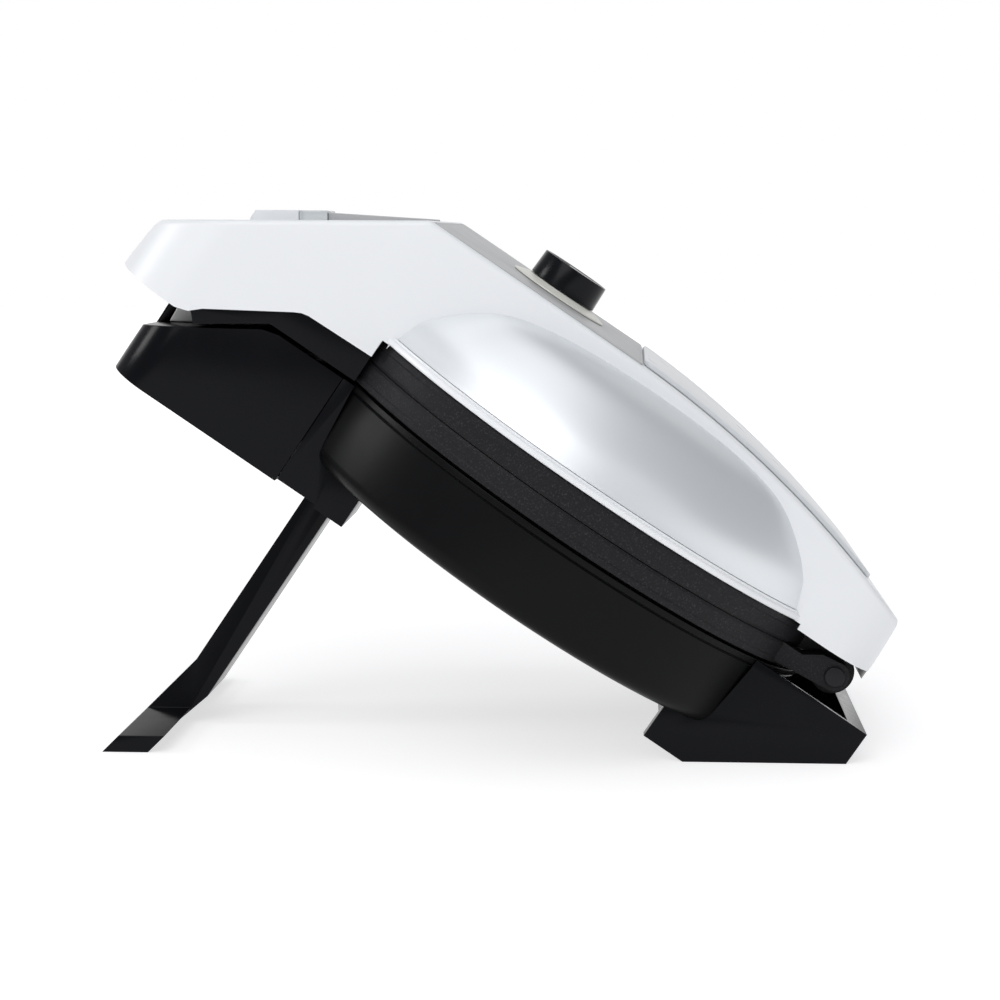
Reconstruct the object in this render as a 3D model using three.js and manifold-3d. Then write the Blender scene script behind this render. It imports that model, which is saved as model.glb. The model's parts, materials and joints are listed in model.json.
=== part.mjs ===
// Donut maker: a round clamshell baker with a hinged lid, propped at an angle on its fold-out stand.
// Millimetres. Every sub-part is drawn in the level frame (X from the handle towards the hinge, Z up
// from the feet) and the whole appliance is then leaned back on its rear chamfer and the stand.
import * as THREE from 'three';
import { mergeVertices } from 'three/addons/utils/BufferGeometryUtils.js';
import Module from 'manifold-3d';

const wasm = await Module();
wasm.setup();

// ---- driving dimensions ----
const TILT = THREE.MathUtils.degToRad(34); // lean of the base when it stands on the open stand
const GAP = 0.3; // clearance between pieces that touch
const WALL = 2.6; // moulded wall of the covers

const BOWL = { rimR: 113.5, footR: 112, floorZ: 15, rimZ: 47.7, wall: 2.4, corner: 6.5 };
const PLATE = { r: 114.8, bodyR: 106, seamZ: 58.2, edge: 9.3, depth: 14.8 };
const DONUT = { ringR: 19.5, tubeR: 10.5, pitchR: 69, count: 6 };
const HINGE = { x: 116.2, z: 57.9, pinR: 3.2, bore: 3.5, outerR: 5.6, innerR: 8.4 };
const KNUCKLE = { innerFrom: 45.5, innerTo: 55.6, outerFrom: 56, outerTo: 66 };

const BAND = { half: 73.3, tipX: -193.4, rearX: 128.2, frontR: 30, rearR: 25 };
const CREST = { x: -103, z: 114.2 };
const TOP = { arcX: -18, z: 113.8, arcR: 412, rearX: 125.3 };
const UNDER = { front: 34.7, mid: 59.5, ring: 67.8, rear: 65.6, ringHalf: 93.4 };
const RIM = { r: 117.4, z: 67.8, height: 3.3, inner: 108 };
const PANEL = { fromX: -101.5, toX: -9.2, half: 70.6, thick: 1.7 };
const TOP_PLATE = { fromX: -8.6, toX: 108, half: 60, thick: 1.8 };

const KNOB = { x: -49.8, r: 14.6, topR: 14.2, z: 117.2, height: 10.1 };
const BEZEL = { r: 21, topR: 15.2, height: 2.3 };
const SHAFT_R = 3;

const BASE_HALF = 66; // half width of the base handle and the front bracket
const BASE_HANDLE = { frontX: -174.2, seamX: -98.4, z: 0.3, noseZ: 19.9, cornerR: 16 };
const BRACKET = { fromX: -98.1, toX: -67.9, footX: -80.8 };
const BLOCK = {
  half: 72.7, fromX: 69.5, bodyX: 77, toeX: 87, rearX: 137.4, topZ: 47.5, lipX: 128.9, wall: 3, skin: 0.9,
};

const LEG = { pivotX: -82.4, pivotZ: 12.2, pinR: 1.8, half: 6, stemHalf: 19, barHalf: 70, bar: 9 };
const LEG_FRONT = { x: LEG.pivotX - LEG.half, bendZ: -86.4, lean: 0.2 };
const LEG_REAR = { x: LEG.pivotX + LEG.half, bendZ: -96.6, lean: 0.28 };
const LEG_BAY = { half: 21, barHalf: 73, fromX: -91, barFromX: 30, toX: 57, roofZ: 19.6, wall: 1.5 };
const LATCH = { x: -172.7, z: 40.5, half: 27, hookZ: 17, pinHalf: 34 };

// ---- finishes ----
function finish(color, roughness, metalness = 0) {
  return new THREE.MeshStandardMaterial({ color, roughness, metalness });
}
const WHITE = finish(0xe9ecef, 0.35);
const PALE = finish(0xdfe3e5, 0.3);
const SILVER = finish(0xc9cfd2, 0.28, 0.6);
const GREY_PANEL = finish(0xc3c4c5, 0.45);
const WARM_GREY = finish(0xb9b9ac, 0.4, 0.3);
const BLACK = finish(0x141416, 0.25);
const BLACK_KNOB = finish(0x17181b, 0.35);
const COATED = finish(0x26262a, 0.6, 0.4);
const STEEL = finish(0xb8babd, 0.3, 1);
const DARK_STEEL = finish(0x5a5c60, 0.45, 0.9);
const LATCH_GREY = finish(0xb4b3b0, 0.4);
const LENS = finish(0xd5dde0, 0.15);
const RUBBER = finish(0x1c1c1d, 0.85);
const PHENOLIC = finish(0x3a2f28, 0.6);
const BOARD = finish(0x2f5a3c, 0.6);

// ---- solids ----
function solid(geometry) {
  const bare = geometry.clone();
  bare.deleteAttribute('normal');
  bare.deleteAttribute('uv');
  const welded = mergeVertices(bare, 1e-4);
  const vertProperties = new Float32Array(welded.attributes.position.array);
  const triVerts = new Uint32Array(welded.index.array);
  if (signedVolume(vertProperties, triVerts) < 0) flip(triVerts);
  return new wasm.Manifold(new wasm.Mesh({ numProp: 3, vertProperties, triVerts }));
}

function signedVolume(points, triangles) {
  const [a, b, c] = [new THREE.Vector3(), new THREE.Vector3(), new THREE.Vector3()];
  let volume = 0;
  for (let i = 0; i < triangles.length; i += 3) {
    a.fromArray(points, 3 * triangles[i]);
    b.fromArray(points, 3 * triangles[i + 1]);
    c.fromArray(points, 3 * triangles[i + 2]);
    volume += a.dot(b.cross(c));
  }
  return volume;
}

function flip(triangles) {
  for (let i = 0; i < triangles.length; i += 3) {
    [triangles[i + 1], triangles[i + 2]] = [triangles[i + 2], triangles[i + 1]];
  }
}

function toGeometry(manifold) {
  const mesh = manifold.getMesh();
  const geometry = new THREE.BufferGeometry();
  geometry.setAttribute('position', new THREE.BufferAttribute(new Float32Array(mesh.vertProperties), 3));
  geometry.setIndex(new THREE.BufferAttribute(new Uint32Array(mesh.triVerts), 1));
  geometry.computeVertexNormals();
  return geometry;
}

function piece(name, manifold, material) {
  const mesh = new THREE.Mesh(toGeometry(manifold), material);
  mesh.name = name;
  return mesh;
}

// A side-view outline (points in X, Z) extruded across the width, from y0 to y1.
function across(outline, y0, y1) {
  const shape = new THREE.Shape(outline.map(([x, z]) => new THREE.Vector2(x, z)));
  const geometry = new THREE.ExtrudeGeometry(shape, { depth: y1 - y0, bevelEnabled: false });
  geometry.rotateX(Math.PI / 2);
  geometry.translate(0, y1, 0);
  return solid(geometry);
}

// A plan-view outline extruded upwards, from z0 to z1.
function upright(shape, z0, z1) {
  const geometry = new THREE.ExtrudeGeometry(shape, { depth: z1 - z0, bevelEnabled: false, curveSegments: 8 });
  geometry.translate(0, 0, z0);
  return solid(geometry);
}

// A profile of [radius, z] points turned about the Z axis.
function turned(points, segments = 72) {
  const geometry = new THREE.LatheGeometry(points.map(([r, z]) => new THREE.Vector2(r, z)), segments);
  geometry.rotateX(Math.PI / 2);
  return solid(geometry);
}

function disc(radius, z0, z1, segments = 72) {
  return turned([[0, z0], [radius, z0], [radius, z1], [0, z1]], segments);
}

// A cylinder across the width, about the line through x, z.
function axle(x, z, radius, y0, y1, segments = 20) {
  const geometry = new THREE.CylinderGeometry(radius, radius, y1 - y0, segments);
  geometry.translate(x, (y0 + y1) / 2, z);
  return solid(geometry);
}

function box(x0, x1, y0, y1, z0, z1) {
  const geometry = new THREE.BoxGeometry(x1 - x0, y1 - y0, z1 - z0);
  geometry.translate((x0 + x1) / 2, (y0 + y1) / 2, (z0 + z1) / 2);
  return solid(geometry);
}

// A plan outline with its own corner radius at the front (low X) and at the rear.
function roundedPlan(x0, x1, half, frontR, rearR) {
  const shape = new THREE.Shape();
  shape.moveTo(x0 + frontR, -half);
  shape.lineTo(x1 - rearR, -half);
  shape.absarc(x1 - rearR, -half + rearR, rearR, -Math.PI / 2, 0, false);
  shape.lineTo(x1, half - rearR);
  shape.absarc(x1 - rearR, half - rearR, rearR, 0, Math.PI / 2, false);
  shape.lineTo(x0 + frontR, half);
  shape.absarc(x0 + frontR, half - frontR, frontR, Math.PI / 2, Math.PI, false);
  shape.lineTo(x0, -half + frontR);
  shape.absarc(x0 + frontR, -half + frontR, frontR, Math.PI, 1.5 * Math.PI, false);
  return shape;
}

function minus(body, ...cuts) {
  return cuts.reduce((rest, cut) => rest.subtract(cut), body);
}

function joined(body, ...more) {
  return more.reduce((whole, next) => whole.add(next), body);
}

function group(...children) {
  const holder = new THREE.Group();
  holder.add(...children);
  return holder;
}

// ---- shared shapes ----
const floorZAt = (x) => (x - BLOCK.toeX) * Math.tan(TILT); // height of the table under the leaning base

// Top line of the lid behind the panel: a long arc that starts level.
function topArc(offset, fromX, toX, steps = 10) {
  const centreZ = TOP.z - TOP.arcR;
  const radius = TOP.arcR + offset;
  return Array.from({ length: steps + 1 }, (_, i) => {
    const x = fromX + ((toX - fromX) * i) / steps;
    return [x, centreZ + Math.sqrt(radius ** 2 - (x - TOP.arcX) ** 2)];
  });
}

const slopeAngle = Math.atan2(CREST.z - 56.6, CREST.x - (BAND.tipX + 4.1)); // sloping top of the handle

function plateBlank(towards) {
  const face = PLATE.seamZ + towards * 0.15;
  const edge = PLATE.seamZ + towards * PLATE.edge;
  const back = PLATE.seamZ + towards * PLATE.depth;
  const { r, bodyR } = PLATE;
  return turned([[0, face], [r, face], [r, edge], [bodyR, edge], [bodyR - 2, back], [0, back]], 60);
}

function donutRing(x, y) {
  const geometry = new THREE.TorusGeometry(DONUT.ringR, DONUT.tubeR, 8, 18);
  geometry.translate(x, y, PLATE.seamZ);
  return solid(geometry);
}

function donutRings() {
  const rings = [donutRing(0, 0)];
  for (let i = 0; i < DONUT.count; i += 1) {
    const angle = ((i + 0.5) * 2 * Math.PI) / DONUT.count;
    rings.push(donutRing(DONUT.pitchR * Math.cos(angle), DONUT.pitchR * Math.sin(angle)));
  }
  return rings;
}

// A pair of hinge arms, each a lug from the plate's rim to a knuckle round the pin.
function hingeArms(from, to, knuckleR, rootZ0, rootZ1) {
  const lug = [[84, rootZ0], [HINGE.x, HINGE.z - knuckleR], [HINGE.x, HINGE.z + knuckleR], [84, rootZ1]];
  const knuckle = (y0, y1) => axle(HINGE.x, HINGE.z, knuckleR, y0, y1, 28);
  return bothSides(from, to, (y0, y1) => joined(across(lug, y0, y1), knuckle(y0, y1)));
}

// The same shape made between two distances from the middle plane, on the left and on the right.
function bothSides(from, to, make) {
  return joined(make(from, to), make(-to, -from));
}

// ---- base ----
function baseBowl() {
  const { rimR, footR, floorZ, rimZ, wall } = BOWL;
  const shell = turned([
    [0, floorZ], ...bowlCorner(0), [rimR - 0.7, rimZ - 3], [rimR, rimZ - 2.6], [rimR, rimZ],
    [rimR - wall, rimZ], ...bowlCorner(-wall).reverse(), [0, floorZ + wall],
  ], 60);
  const bay = legBay(GAP, floorZ - 1, floorZ + wall + 1);
  return piece('base_bowl', minus(shell, bay, belowSeat(BLOCK.skin + GAP)), BLACK);
}

// The rounded lower corner of the bowl's section, grown outwards by the given margin.
function bowlCorner(margin) {
  const { footR, floorZ, corner } = BOWL;
  const angles = [-90, -72, -54, -36, -18, 0].map(THREE.MathUtils.degToRad);
  const radius = corner + margin;
  return angles.map((a) => [footR - corner + radius * Math.cos(a), floorZ + corner + radius * Math.sin(a)]);
}

// Everything below the slanting plane that the appliance rests on when its stand is open, raised by a margin.
function belowSeat(margin) {
  const [x0, x1] = [80, 140];
  return across([[x0, -20], [x1, -20], [x1, floorZAt(x1) + margin], [x0, floorZAt(x0) + margin]], -80, 80);
}

// Plan of the T-shaped bay that the stand folds into, grown by the given margin.
function legBay(margin, z0, z1) {
  const { half, barHalf, fromX, barFromX, toX } = LEG_BAY;
  const stem = box(fromX - margin, toX, -half - margin, half + margin, z0, z1);
  return joined(stem, box(barFromX - margin, toX + margin, -barHalf - margin, barHalf + margin, z0, z1));
}

function legTray() {
  const { roofZ, wall } = LEG_BAY;
  const tray = minus(legBay(0, BOWL.floorZ + 0.1, roofZ + wall), legBay(-wall, BOWL.floorZ - 1, roofZ));
  return piece('stand_bay_liner', tray, BLACK);
}

function bowlCutter() {
  const { rimR, floorZ, rimZ } = BOWL;
  const outerR = rimR + 2 * GAP;
  return turned([[0, floorZ - GAP], ...bowlCorner(GAP), [outerR, rimZ - 3.5], [outerR, 60], [0, 60]]);
}

// The upright cylinder just outside the bowl's rim.
function rimCylinder() {
  return disc(BOWL.rimR + 2 * GAP, -5, 60, 60);
}

function baseHandle() {
  const { frontX, seamX, z, noseZ, cornerR } = BASE_HANDLE;
  const side = [[frontX, z], [frontX + 0.8, noseZ], [-133.5, 45.2], [-127, 46.9], [seamX, 47], [seamX, z]];
  const outer = across(side, -BASE_HALF, BASE_HALF).intersect(
    upright(roundedPlan(frontX, seamX + 20, BASE_HALF, cornerR, 2), 0, 60),
  );
  const insideTop = [
    [frontX + 3, -2], [frontX + 3.6, noseZ - 2], [-134, 42.2], [-127, 44.2], [seamX - 3, 44.3],
    [seamX - 3, -2],
  ];
  const inner = across(insideTop, -BASE_HALF + WALL, BASE_HALF - WALL).intersect(
    upright(roundedPlan(frontX + WALL, seamX, BASE_HALF - WALL, cornerR - WALL, 2), -2, 60),
  );
  const hookNotch = box(frontX - 1, frontX + 4.6, -LATCH.half - 1, LATCH.half + 1, LATCH.hookZ - 2.2, 40);
  return piece('base_handle', minus(outer, rimCylinder(), inner, hookNotch), BLACK);
}

function baseHandleCover() {
  const { frontX, seamX, cornerR } = BASE_HANDLE;
  const inset = WALL + GAP;
  const plan = roundedPlan(frontX + 3 + inset, seamX - 3 - GAP, BASE_HALF - inset, cornerR - inset, 2);
  return piece('base_handle_cover', minus(upright(plan, 1.2, 3.4), rimCylinder()), BLACK);
}

function frontBracket() {
  const { fromX, toX, footX } = BRACKET;
  const side = [[fromX, 1.5], [footX, 1.5], [footX + 0.4, 0], [toX, 0], [toX, 12], [fromX, 47]];
  const cheeks = [[fromX, 1.5], [footX, 1.5], [footX + 0.4, 0], [toX, 0], [toX, 47], [fromX, 47]];
  const body = joined(across(side, -BASE_HALF + 1, BASE_HALF - 1), across(cheeks, -BASE_HALF, BASE_HALF));
  const legSlot = box(LEG.pivotX - LEG.half - GAP, toX + 1, -LEG_BAY.half, LEG_BAY.half, -1, 20);
  const pinHole = axle(LEG.pivotX, LEG.pivotZ, LEG.pinR + GAP, -30, 30);
  const holes = [legSlot, pinHole, ...screwHoles(FRONT_SCREWS), ...padWells()];
  return piece('front_bracket', minus(body, bowlCutter(), ...holes), BLACK);
}

function rearBlock() {
  const { half, fromX, toeX, rearX, topZ, lipX, wall } = BLOCK;
  const side = [[fromX, 0], [toeX, 0], [rearX, floorZAt(rearX)], [rearX, topZ], [fromX, topZ]];
  const pocketRise = floorZAt(lipX) + 3.6;
  const pocketSide = [
    [fromX + 4, 17.5], [toeX + 21.5, 17.5], [lipX, pocketRise], [lipX, topZ + 1], [fromX + 4, topZ + 1],
  ];
  const pocket = across(pocketSide, -half + wall, half - wall);
  const glandHole = new THREE.CylinderGeometry(GLAND.r + GAP, GLAND.r + GAP, 20, 24);
  glandHole.rotateZ(Math.PI / 2);
  glandHole.translate(GLAND.x, GLAND.y, GLAND.z);
  const recess = box(fromX - 1, BLOCK.bodyX, -half + 2 * wall, half - 2 * wall, -1, 16);
  const bowlRoom = minus(bowlCutter(), belowSeat(BLOCK.skin));
  const holes = [solid(glandHole), ...screwHoles(REAR_SCREWS), ...padWells()];
  const body = minus(across(side, -half, half), bowlRoom, recess, pocket, ...holes);
  return piece('rear_block', body, BLACK);
}

const GLAND = { x: 134, y: 44, z: 41, r: 4.2 };
function cordGland() {
  const { rearX } = BLOCK;
  const { r } = GLAND;
  const profile = [[1.9, -10], [r - 1, -10], [r, -2], [r, 3.4], [r + 1.2, 3.4], [r + 1.2, 4.6], [2.6, 4.6]];
  const outline = [...profile, profile[0]].map(([radius, h]) => new THREE.Vector2(radius, h));
  const geometry = new THREE.LatheGeometry(outline, 28);
  geometry.rotateZ(-Math.PI / 2);
  geometry.translate(rearX - 3.4 + GAP, GLAND.y, GLAND.z);
  return piece('cord_gland', solid(geometry), RUBBER);
}

const FRONT_SCREWS = [[-74.5, -45], [-74.5, 45]];
const REAR_SCREWS = [[82, -48], [82, 48]];
const SCREW = { headR: 3.2, shankR: 1.6, well: 6 };

function screwHoles(places) {
  return places.map(([x, y]) => joined(
    disc(SCREW.headR + 0.8, -1, SCREW.well, 20), disc(SCREW.shankR + GAP, -1, 13, 16),
  ).translate([x, y, 0]));
}

function screws() {
  return [...FRONT_SCREWS, ...REAR_SCREWS].map(([x, y], i) => {
    const head = disc(SCREW.headR, SCREW.well - 2.4, SCREW.well - GAP, 20);
    const slot = box(-4, 4, -0.4, 0.4, SCREW.well - 3, SCREW.well - 1.6);
    const screw = minus(joined(head, disc(SCREW.shankR, SCREW.well - 1, 12.6, 16)), slot);
    return piece(`bottom_screw_${i + 1}`, screw.translate([x, y, 0]), STEEL);
  });
}

const PAD = { r: 4.2, depth: 2 };
const PAD_PLACES = {
  front_foot_pad_right: [-74.2, -57.5], front_foot_pad_left: [-74.2, 57.5],
  rear_foot_pad_right: [82.1, -61], rear_foot_pad_left: [82.1, 61],
};

function padWells() {
  return Object.values(PAD_PLACES).map(([x, y]) => disc(PAD.r + GAP, -1, PAD.depth, 20).translate([x, y, 0]));
}

function footPads() {
  return Object.entries(PAD_PLACES).map(([name, [x, y]]) => {
    const top = PAD.depth - GAP;
    const pad = turned([[0, -0.3], [PAD.r - 0.5, -0.3], [PAD.r, 0.2], [PAD.r, top], [0, top]], 20);
    return piece(name, pad.translate([x, y, 0]), RUBBER);
  });
}

function lowerPlate() {
  const arms = hingeArms(KNUCKLE.outerFrom, KNUCKLE.outerTo, HINGE.outerR, 49.2, PLATE.seamZ - 0.15);
  const clear = box(80, 101.5, -70, 70, PLATE.seamZ - 0.15, 70);
  const bore = axle(HINGE.x, HINGE.z, HINGE.bore, -80, 80);
  const body = joined(plateBlank(-1), minus(arms, clear));
  return piece('lower_plate', minus(body, ...donutRings(), bore), COATED);
}

function upperPlate() {
  const arms = hingeArms(KNUCKLE.innerFrom, KNUCKLE.innerTo, HINGE.innerR, PLATE.seamZ + 0.15, 66.6);
  const clear = box(80, 108.5, -70, 70, 40, PLATE.seamZ + 0.15);
  const bore = axle(HINGE.x, HINGE.z, HINGE.bore, -80, 80);
  const body = joined(plateBlank(1), minus(arms, clear));
  return piece('upper_plate', minus(body, ...donutRings(), bore), COATED);
}

// A tubular heater ring with its two cold ends turned away from the plate.
function heaterRing(name, z, towards) {
  const gapAngle = 0.18;
  const ringR = 84;
  const points = [];
  const steps = 24;
  const end = (angle, rise) => {
    return new THREE.Vector3(ringR * Math.cos(angle), ringR * Math.sin(angle), z + towards * rise);
  };
  points.push(end(gapAngle, 3));
  for (let i = 0; i <= steps; i += 1) {
    points.push(end(gapAngle + 0.06 + ((2 * Math.PI - 2 * gapAngle - 0.12) * i) / steps, 0));
  }
  points.push(end(2 * Math.PI - gapAngle, 3));
  const section = new THREE.Shape();
  section.absarc(0, 0, 3.2, 0, 2 * Math.PI, false);
  const path = new THREE.CatmullRomCurve3(points);
  const tube = new THREE.ExtrudeGeometry(section, { steps: 44, curveSegments: 3, extrudePath: path });
  return piece(name, solid(tube), DARK_STEEL);
}

function heatShield(name, z, towards) {
  const t = towards;
  const pan = [
    [0, z], [78, z], [103, z - t * 9], [104.2, z - t * 9], [104.2, z - t * 8], [78.4, z + t],
    [0, z + t],
  ];
  return piece(name, minus(turned(pan, 40), disc(9, z - 20, z + 20, 24)), STEEL);
}

function thermostat(name, x, y, z, towards) {
  const body = joined(disc(8, z, z + 5, 28), disc(5.2, z + 4, z + 9, 24));
  const lugs = [box(-14, -7, -3, 3, z + 1, z + 2.2), box(7, 14, -3, 3, z + 1, z + 2.2)];
  const whole = joined(body, ...lugs);
  const placed = towards > 0 ? whole : whole.rotate([180, 0, 0]).translate([0, 0, 2 * z]);
  return piece(name, placed.translate([x, y, 0]), PHENOLIC);
}

function hingePins() {
  return [['hinge_pin_right', -1], ['hinge_pin_left', 1]].map(([name, side]) => {
    const ends = [side * 44.6, side * (KNUCKLE.outerTo + 0.5)].sort((a, b) => a - b);
    const headEnds = [side * (KNUCKLE.outerTo + GAP), side * (KNUCKLE.outerTo + 1.5)].sort((a, b) => a - b);
    const shank = axle(HINGE.x, HINGE.z, HINGE.pinR, ...ends, 24);
    const pin = joined(shank, axle(HINGE.x, HINGE.z, 3.9, ...headEnds, 24));
    return piece(name, pin, DARK_STEEL);
  });
}

function terminalBlock() {
  const base = box(62, 82, 26, 50, 17.9, 25.4);
  const wells = [31, 38, 45].map((y) => disc(1.7, 21, 30, 14).translate([72, y, 0]));
  return piece('terminal_block', minus(base, ...wells), PHENOLIC);
}

function base() {
  return group(
    baseBowl(), legTray(), baseHandle(), baseHandleCover(), frontBracket(), rearBlock(), cordGland(),
    lowerPlate(), heaterRing('lower_heating_element', 38.4, -1), heatShield('lower_heat_shield', 27.5, -1),
    thermostat('lower_thermostat', 0, 0, PLATE.seamZ - PLATE.depth - GAP, -1), terminalBlock(),
    latchKeeper(), ...hingePins(), legPivotPin(), ...screws(), ...footPads(),
  );
}

// ---- fold-out stand ----
// Where a face of the stem, leaning forward below its bend, meets the table.
function standFoot({ x, bendZ, lean }) {
  const slope = Math.tan(TILT);
  const z = (slope * (x - bendZ * lean - BLOCK.toeX)) / (1 - slope * lean);
  return [x - (bendZ - z) * lean, z];
}

function standLeg() {
  const [footFront, footRear] = [standFoot(LEG_FRONT), standFoot(LEG_REAR)];
  const stem = across([
    [LEG_FRONT.x, LEG.pivotZ], [LEG_FRONT.x, LEG_FRONT.bendZ], footFront, footRear,
    [LEG_REAR.x, LEG_REAR.bendZ], [LEG_REAR.x, LEG.pivotZ],
  ], -LEG.stemHalf, LEG.stemHalf);
  const up = ([x, z]) => [x + LEG_FRONT.lean * LEG.bar, z + LEG.bar];
  const bar = across([footFront, footRear, up(footRear), up(footFront)], -LEG.barHalf, LEG.barHalf);
  const knuckle = axle(LEG.pivotX, LEG.pivotZ, LEG.half, -LEG.stemHalf, LEG.stemHalf, 28);
  const bore = axle(LEG.pivotX, LEG.pivotZ, LEG.pinR + GAP, -40, 40);
  return piece('stand_leg', minus(joined(stem, bar, knuckle), bore), BLACK);
}

function legPivotPin() {
  return piece('stand_pivot_pin', axle(LEG.pivotX, LEG.pivotZ, LEG.pinR, -29, 29), STEEL);
}

// ---- lid ----
function coverOutline(inset) {
  const { tipX, rearX } = BAND;
  const topZ = CREST.z - inset * 1.6;
  const tipRise = Math.tan(slopeAngle) * inset;
  const line = [
    [tipX + inset, UNDER.front], [tipX + 4.1 + inset, 56.6 - inset / Math.cos(slopeAngle) + tipRise],
    [CREST.x + inset * 0.55, topZ], ...topArc(-inset * 1.6, TOP.arcX, TOP.rearX - inset),
    [rearX - inset, UNDER.rear],
  ];
  return inset ? [[tipX + inset, -5], ...line, [rearX - inset, -5]] : line;
}

function lidCover() {
  const { half, tipX, rearX, frontR, rearR } = BAND;
  const { front, mid, ring, rear, ringHalf } = UNDER;
  const underside = [
    [ringHalf, rear], [ringHalf, ring], [-ringHalf, ring], [-ringHalf, mid + 1], [-123.8, mid], [-155.2, 40],
    [-159.4, 36.2], [-164.4, front],
  ];
  const outer = across([...coverOutline(0), ...underside], -half, half).intersect(
    upright(roundedPlan(tipX, rearX, half, frontR, rearR), 0, 130),
  );
  const inner = across(coverOutline(WALL), -half + WALL, half - WALL).intersect(
    upright(roundedPlan(tipX + WALL, rearX - WALL, half - WALL, frontR - WALL, rearR - WALL), -10, 130),
  );
  const recessHalf = PANEL.half + GAP;
  const recessZ = CREST.z - PANEL.thick - GAP;
  const recess = box(PANEL.fromX - GAP, PANEL.toX + GAP, -recessHalf, recessHalf, recessZ, 130);
  const shaftHole = disc(7, 100, 130, 28).translate([KNOB.x, 0, 0]);
  const plateRoom = turned([[0, 50], [107.4, 50], [107.4, 80], [98, 92], [87, 99], [74, 102], [0, 102]], 64);
  return piece('lid_cover', minus(outer, inner, recess, shaftHole, plateRoom), WHITE);
}

// Outer line of the domed caps, radius against height, and the same line moved inwards for the inside.
function domeLine(inset, steps) {
  const line = new THREE.SplineCurve([
    new THREE.Vector2(115.2, 71.4), new THREE.Vector2(111.6, 82.5), new THREE.Vector2(103.8, 93),
    new THREE.Vector2(95.4, 100.8), new THREE.Vector2(85.1, 105.4), new THREE.Vector2(73, 108.1),
    new THREE.Vector2(60, 109.6),
  ]);
  return Array.from({ length: steps + 1 }, (_, i) => {
    const at = line.getPoint(i / steps);
    const along = line.getTangent(i / steps);
    return [at.x + along.y * -inset, at.y + along.x * inset];
  });
}

function sideCaps() {
  const outer = domeLine(0, 10);
  const inner = domeLine(2.2, 10).reverse();
  inner[inner.length - 1] = [113, 71.4];
  const shell = turned([...outer, ...inner, outer[0]], 80);
  const ring = RIM;
  const rim = turned([
    [ring.inner, ring.z], [ring.r - 0.4, ring.z], [ring.r, ring.z + 0.4], [ring.r, ring.z + ring.height - 0.4],
    [ring.r - 0.4, ring.z + ring.height], [ring.inner, ring.z + ring.height], [ring.inner, ring.z],
  ], 80);
  const from = BAND.half + GAP;
  return [['right', box(-150, 150, -150, -from, 50, 130)], ['left', box(-150, 150, from, 150, 50, 130)]].flatMap(
    ([side, keep]) => [
      piece(`dome_cap_${side}`, shell.intersect(keep), SILVER),
      piece(`rim_trim_${side}`, rim.intersect(keep), WHITE),
    ],
  );
}

function lidInnerHousing() {
  const half = BAND.half - WALL - GAP;
  const tongue = across([
    [-184, 38.6], [-184, 36.2], [-158.6, 36.2], [-155.6, 32.8], [-131.9, 49.1], [-93.8, 49.1], [-93.8, 63.5],
    [-126, 63.5],
    [-156, 43.5], [-160, 38.6],
  ], -half, half);
  const plan = upright(roundedPlan(BAND.tipX + 2 * WALL, -60, half, BAND.frontR - WALL - GAP, 1), 0, 90);
  const plateClear = disc(PLATE.r + 0.8, 40, 75, 96);
  const { x, z, half: latchHalf, pinHalf } = LATCH;
  const latchWindow = box(x - 4.5, x + 3.5, -latchHalf - 4, latchHalf + 4, 30, 45);
  const lug = [[x - 4, 37], [x + 4, 37], [x + 4, z + 3], [x - 4, z + 3]];
  const lugs = bothSides(pinHalf - 2.6, pinHalf, (y0, y1) => across(lug, y0, y1));
  const bore = axle(x, z, 1.6, -50, 50, 16);
  const body = joined(tongue.intersect(plan), lugs);
  return piece('lid_inner_housing', minus(body, plateClear, latchWindow, bore), BLACK);
}

// Black lining of the lid's rear end; a wedge of it shows below the cover behind the hinge.
function rearLiner() {
  const { half, rearX, rearR } = BAND;
  const [edge, inset] = [rearX - GAP, WALL + GAP];
  const wedge = across([[121.8, 65.3], [edge, 61.2], [edge, 65.3]], -half + inset, half - inset).intersect(
    upright(roundedPlan(60, edge, half - GAP, 1, rearR), 50, 80),
  );
  const rear = rearX - inset;
  const insertSide = [[119.5, 70], [121.7, 65.2], [rear, 65.2], [rear - 0.9, 70]];
  const insert = across(insertSide, -half + inset, half - inset);
  const plan = upright(roundedPlan(60, rearX - inset, half - inset, 1, rearR - inset), 50, 80);
  return piece('lid_rear_liner', joined(wedge, insert.intersect(plan)), BLACK);
}

function controlPanel() {
  const { fromX, toX, half, thick } = PANEL;
  const plate = box(fromX, toX, -half, half, CREST.z - thick, CREST.z + 0.1);
  return piece('control_panel', minus(plate, disc(6, 100, 130, 28).translate([KNOB.x, 0, 0])), GREY_PANEL);
}

function topPlate() {
  const { fromX, toX, half, thick } = TOP_PLATE;
  const side = [...topArc(GAP, fromX, toX), ...topArc(thick, fromX, toX).reverse()];
  const plan = upright(roundedPlan(fromX, toX, half, 4, 12), 50, 130);
  return piece('top_plate', across(side, -half, half).intersect(plan), PALE);
}

function bezel() {
  const z = CREST.z + 0.1 + GAP;
  const top = z + BEZEL.height;
  const ring = turned([[5, z], [BEZEL.r, z], [BEZEL.r, z + 0.5], [BEZEL.topR, top], [5, top], [5, z]], 48);
  return piece('knob_bezel', ring.translate([KNOB.x, 0, 0]), WARM_GREY);
}

function knobParts() {
  const { x, r, topR, z, height } = KNOB;
  const top = z + height;
  const body = turned([[0, z], [r, z], [topR + 0.1, top - 0.6], [topR - 0.5, top], [0, top]], 48);
  const cap = minus(body, disc(SHAFT_R + GAP, z - 1, z + 7, 24));
  const shaft = minus(disc(SHAFT_R, 107, z + 6.6, 24), box(1.8, 5, -5, 5, z + 1, z + 8));
  return group(
    piece('knob', cap.translate([x, 0, 0]), BLACK_KNOB),
    piece('knob_shaft', shaft.translate([x, 0, 0]), STEEL),
  );
}

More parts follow.
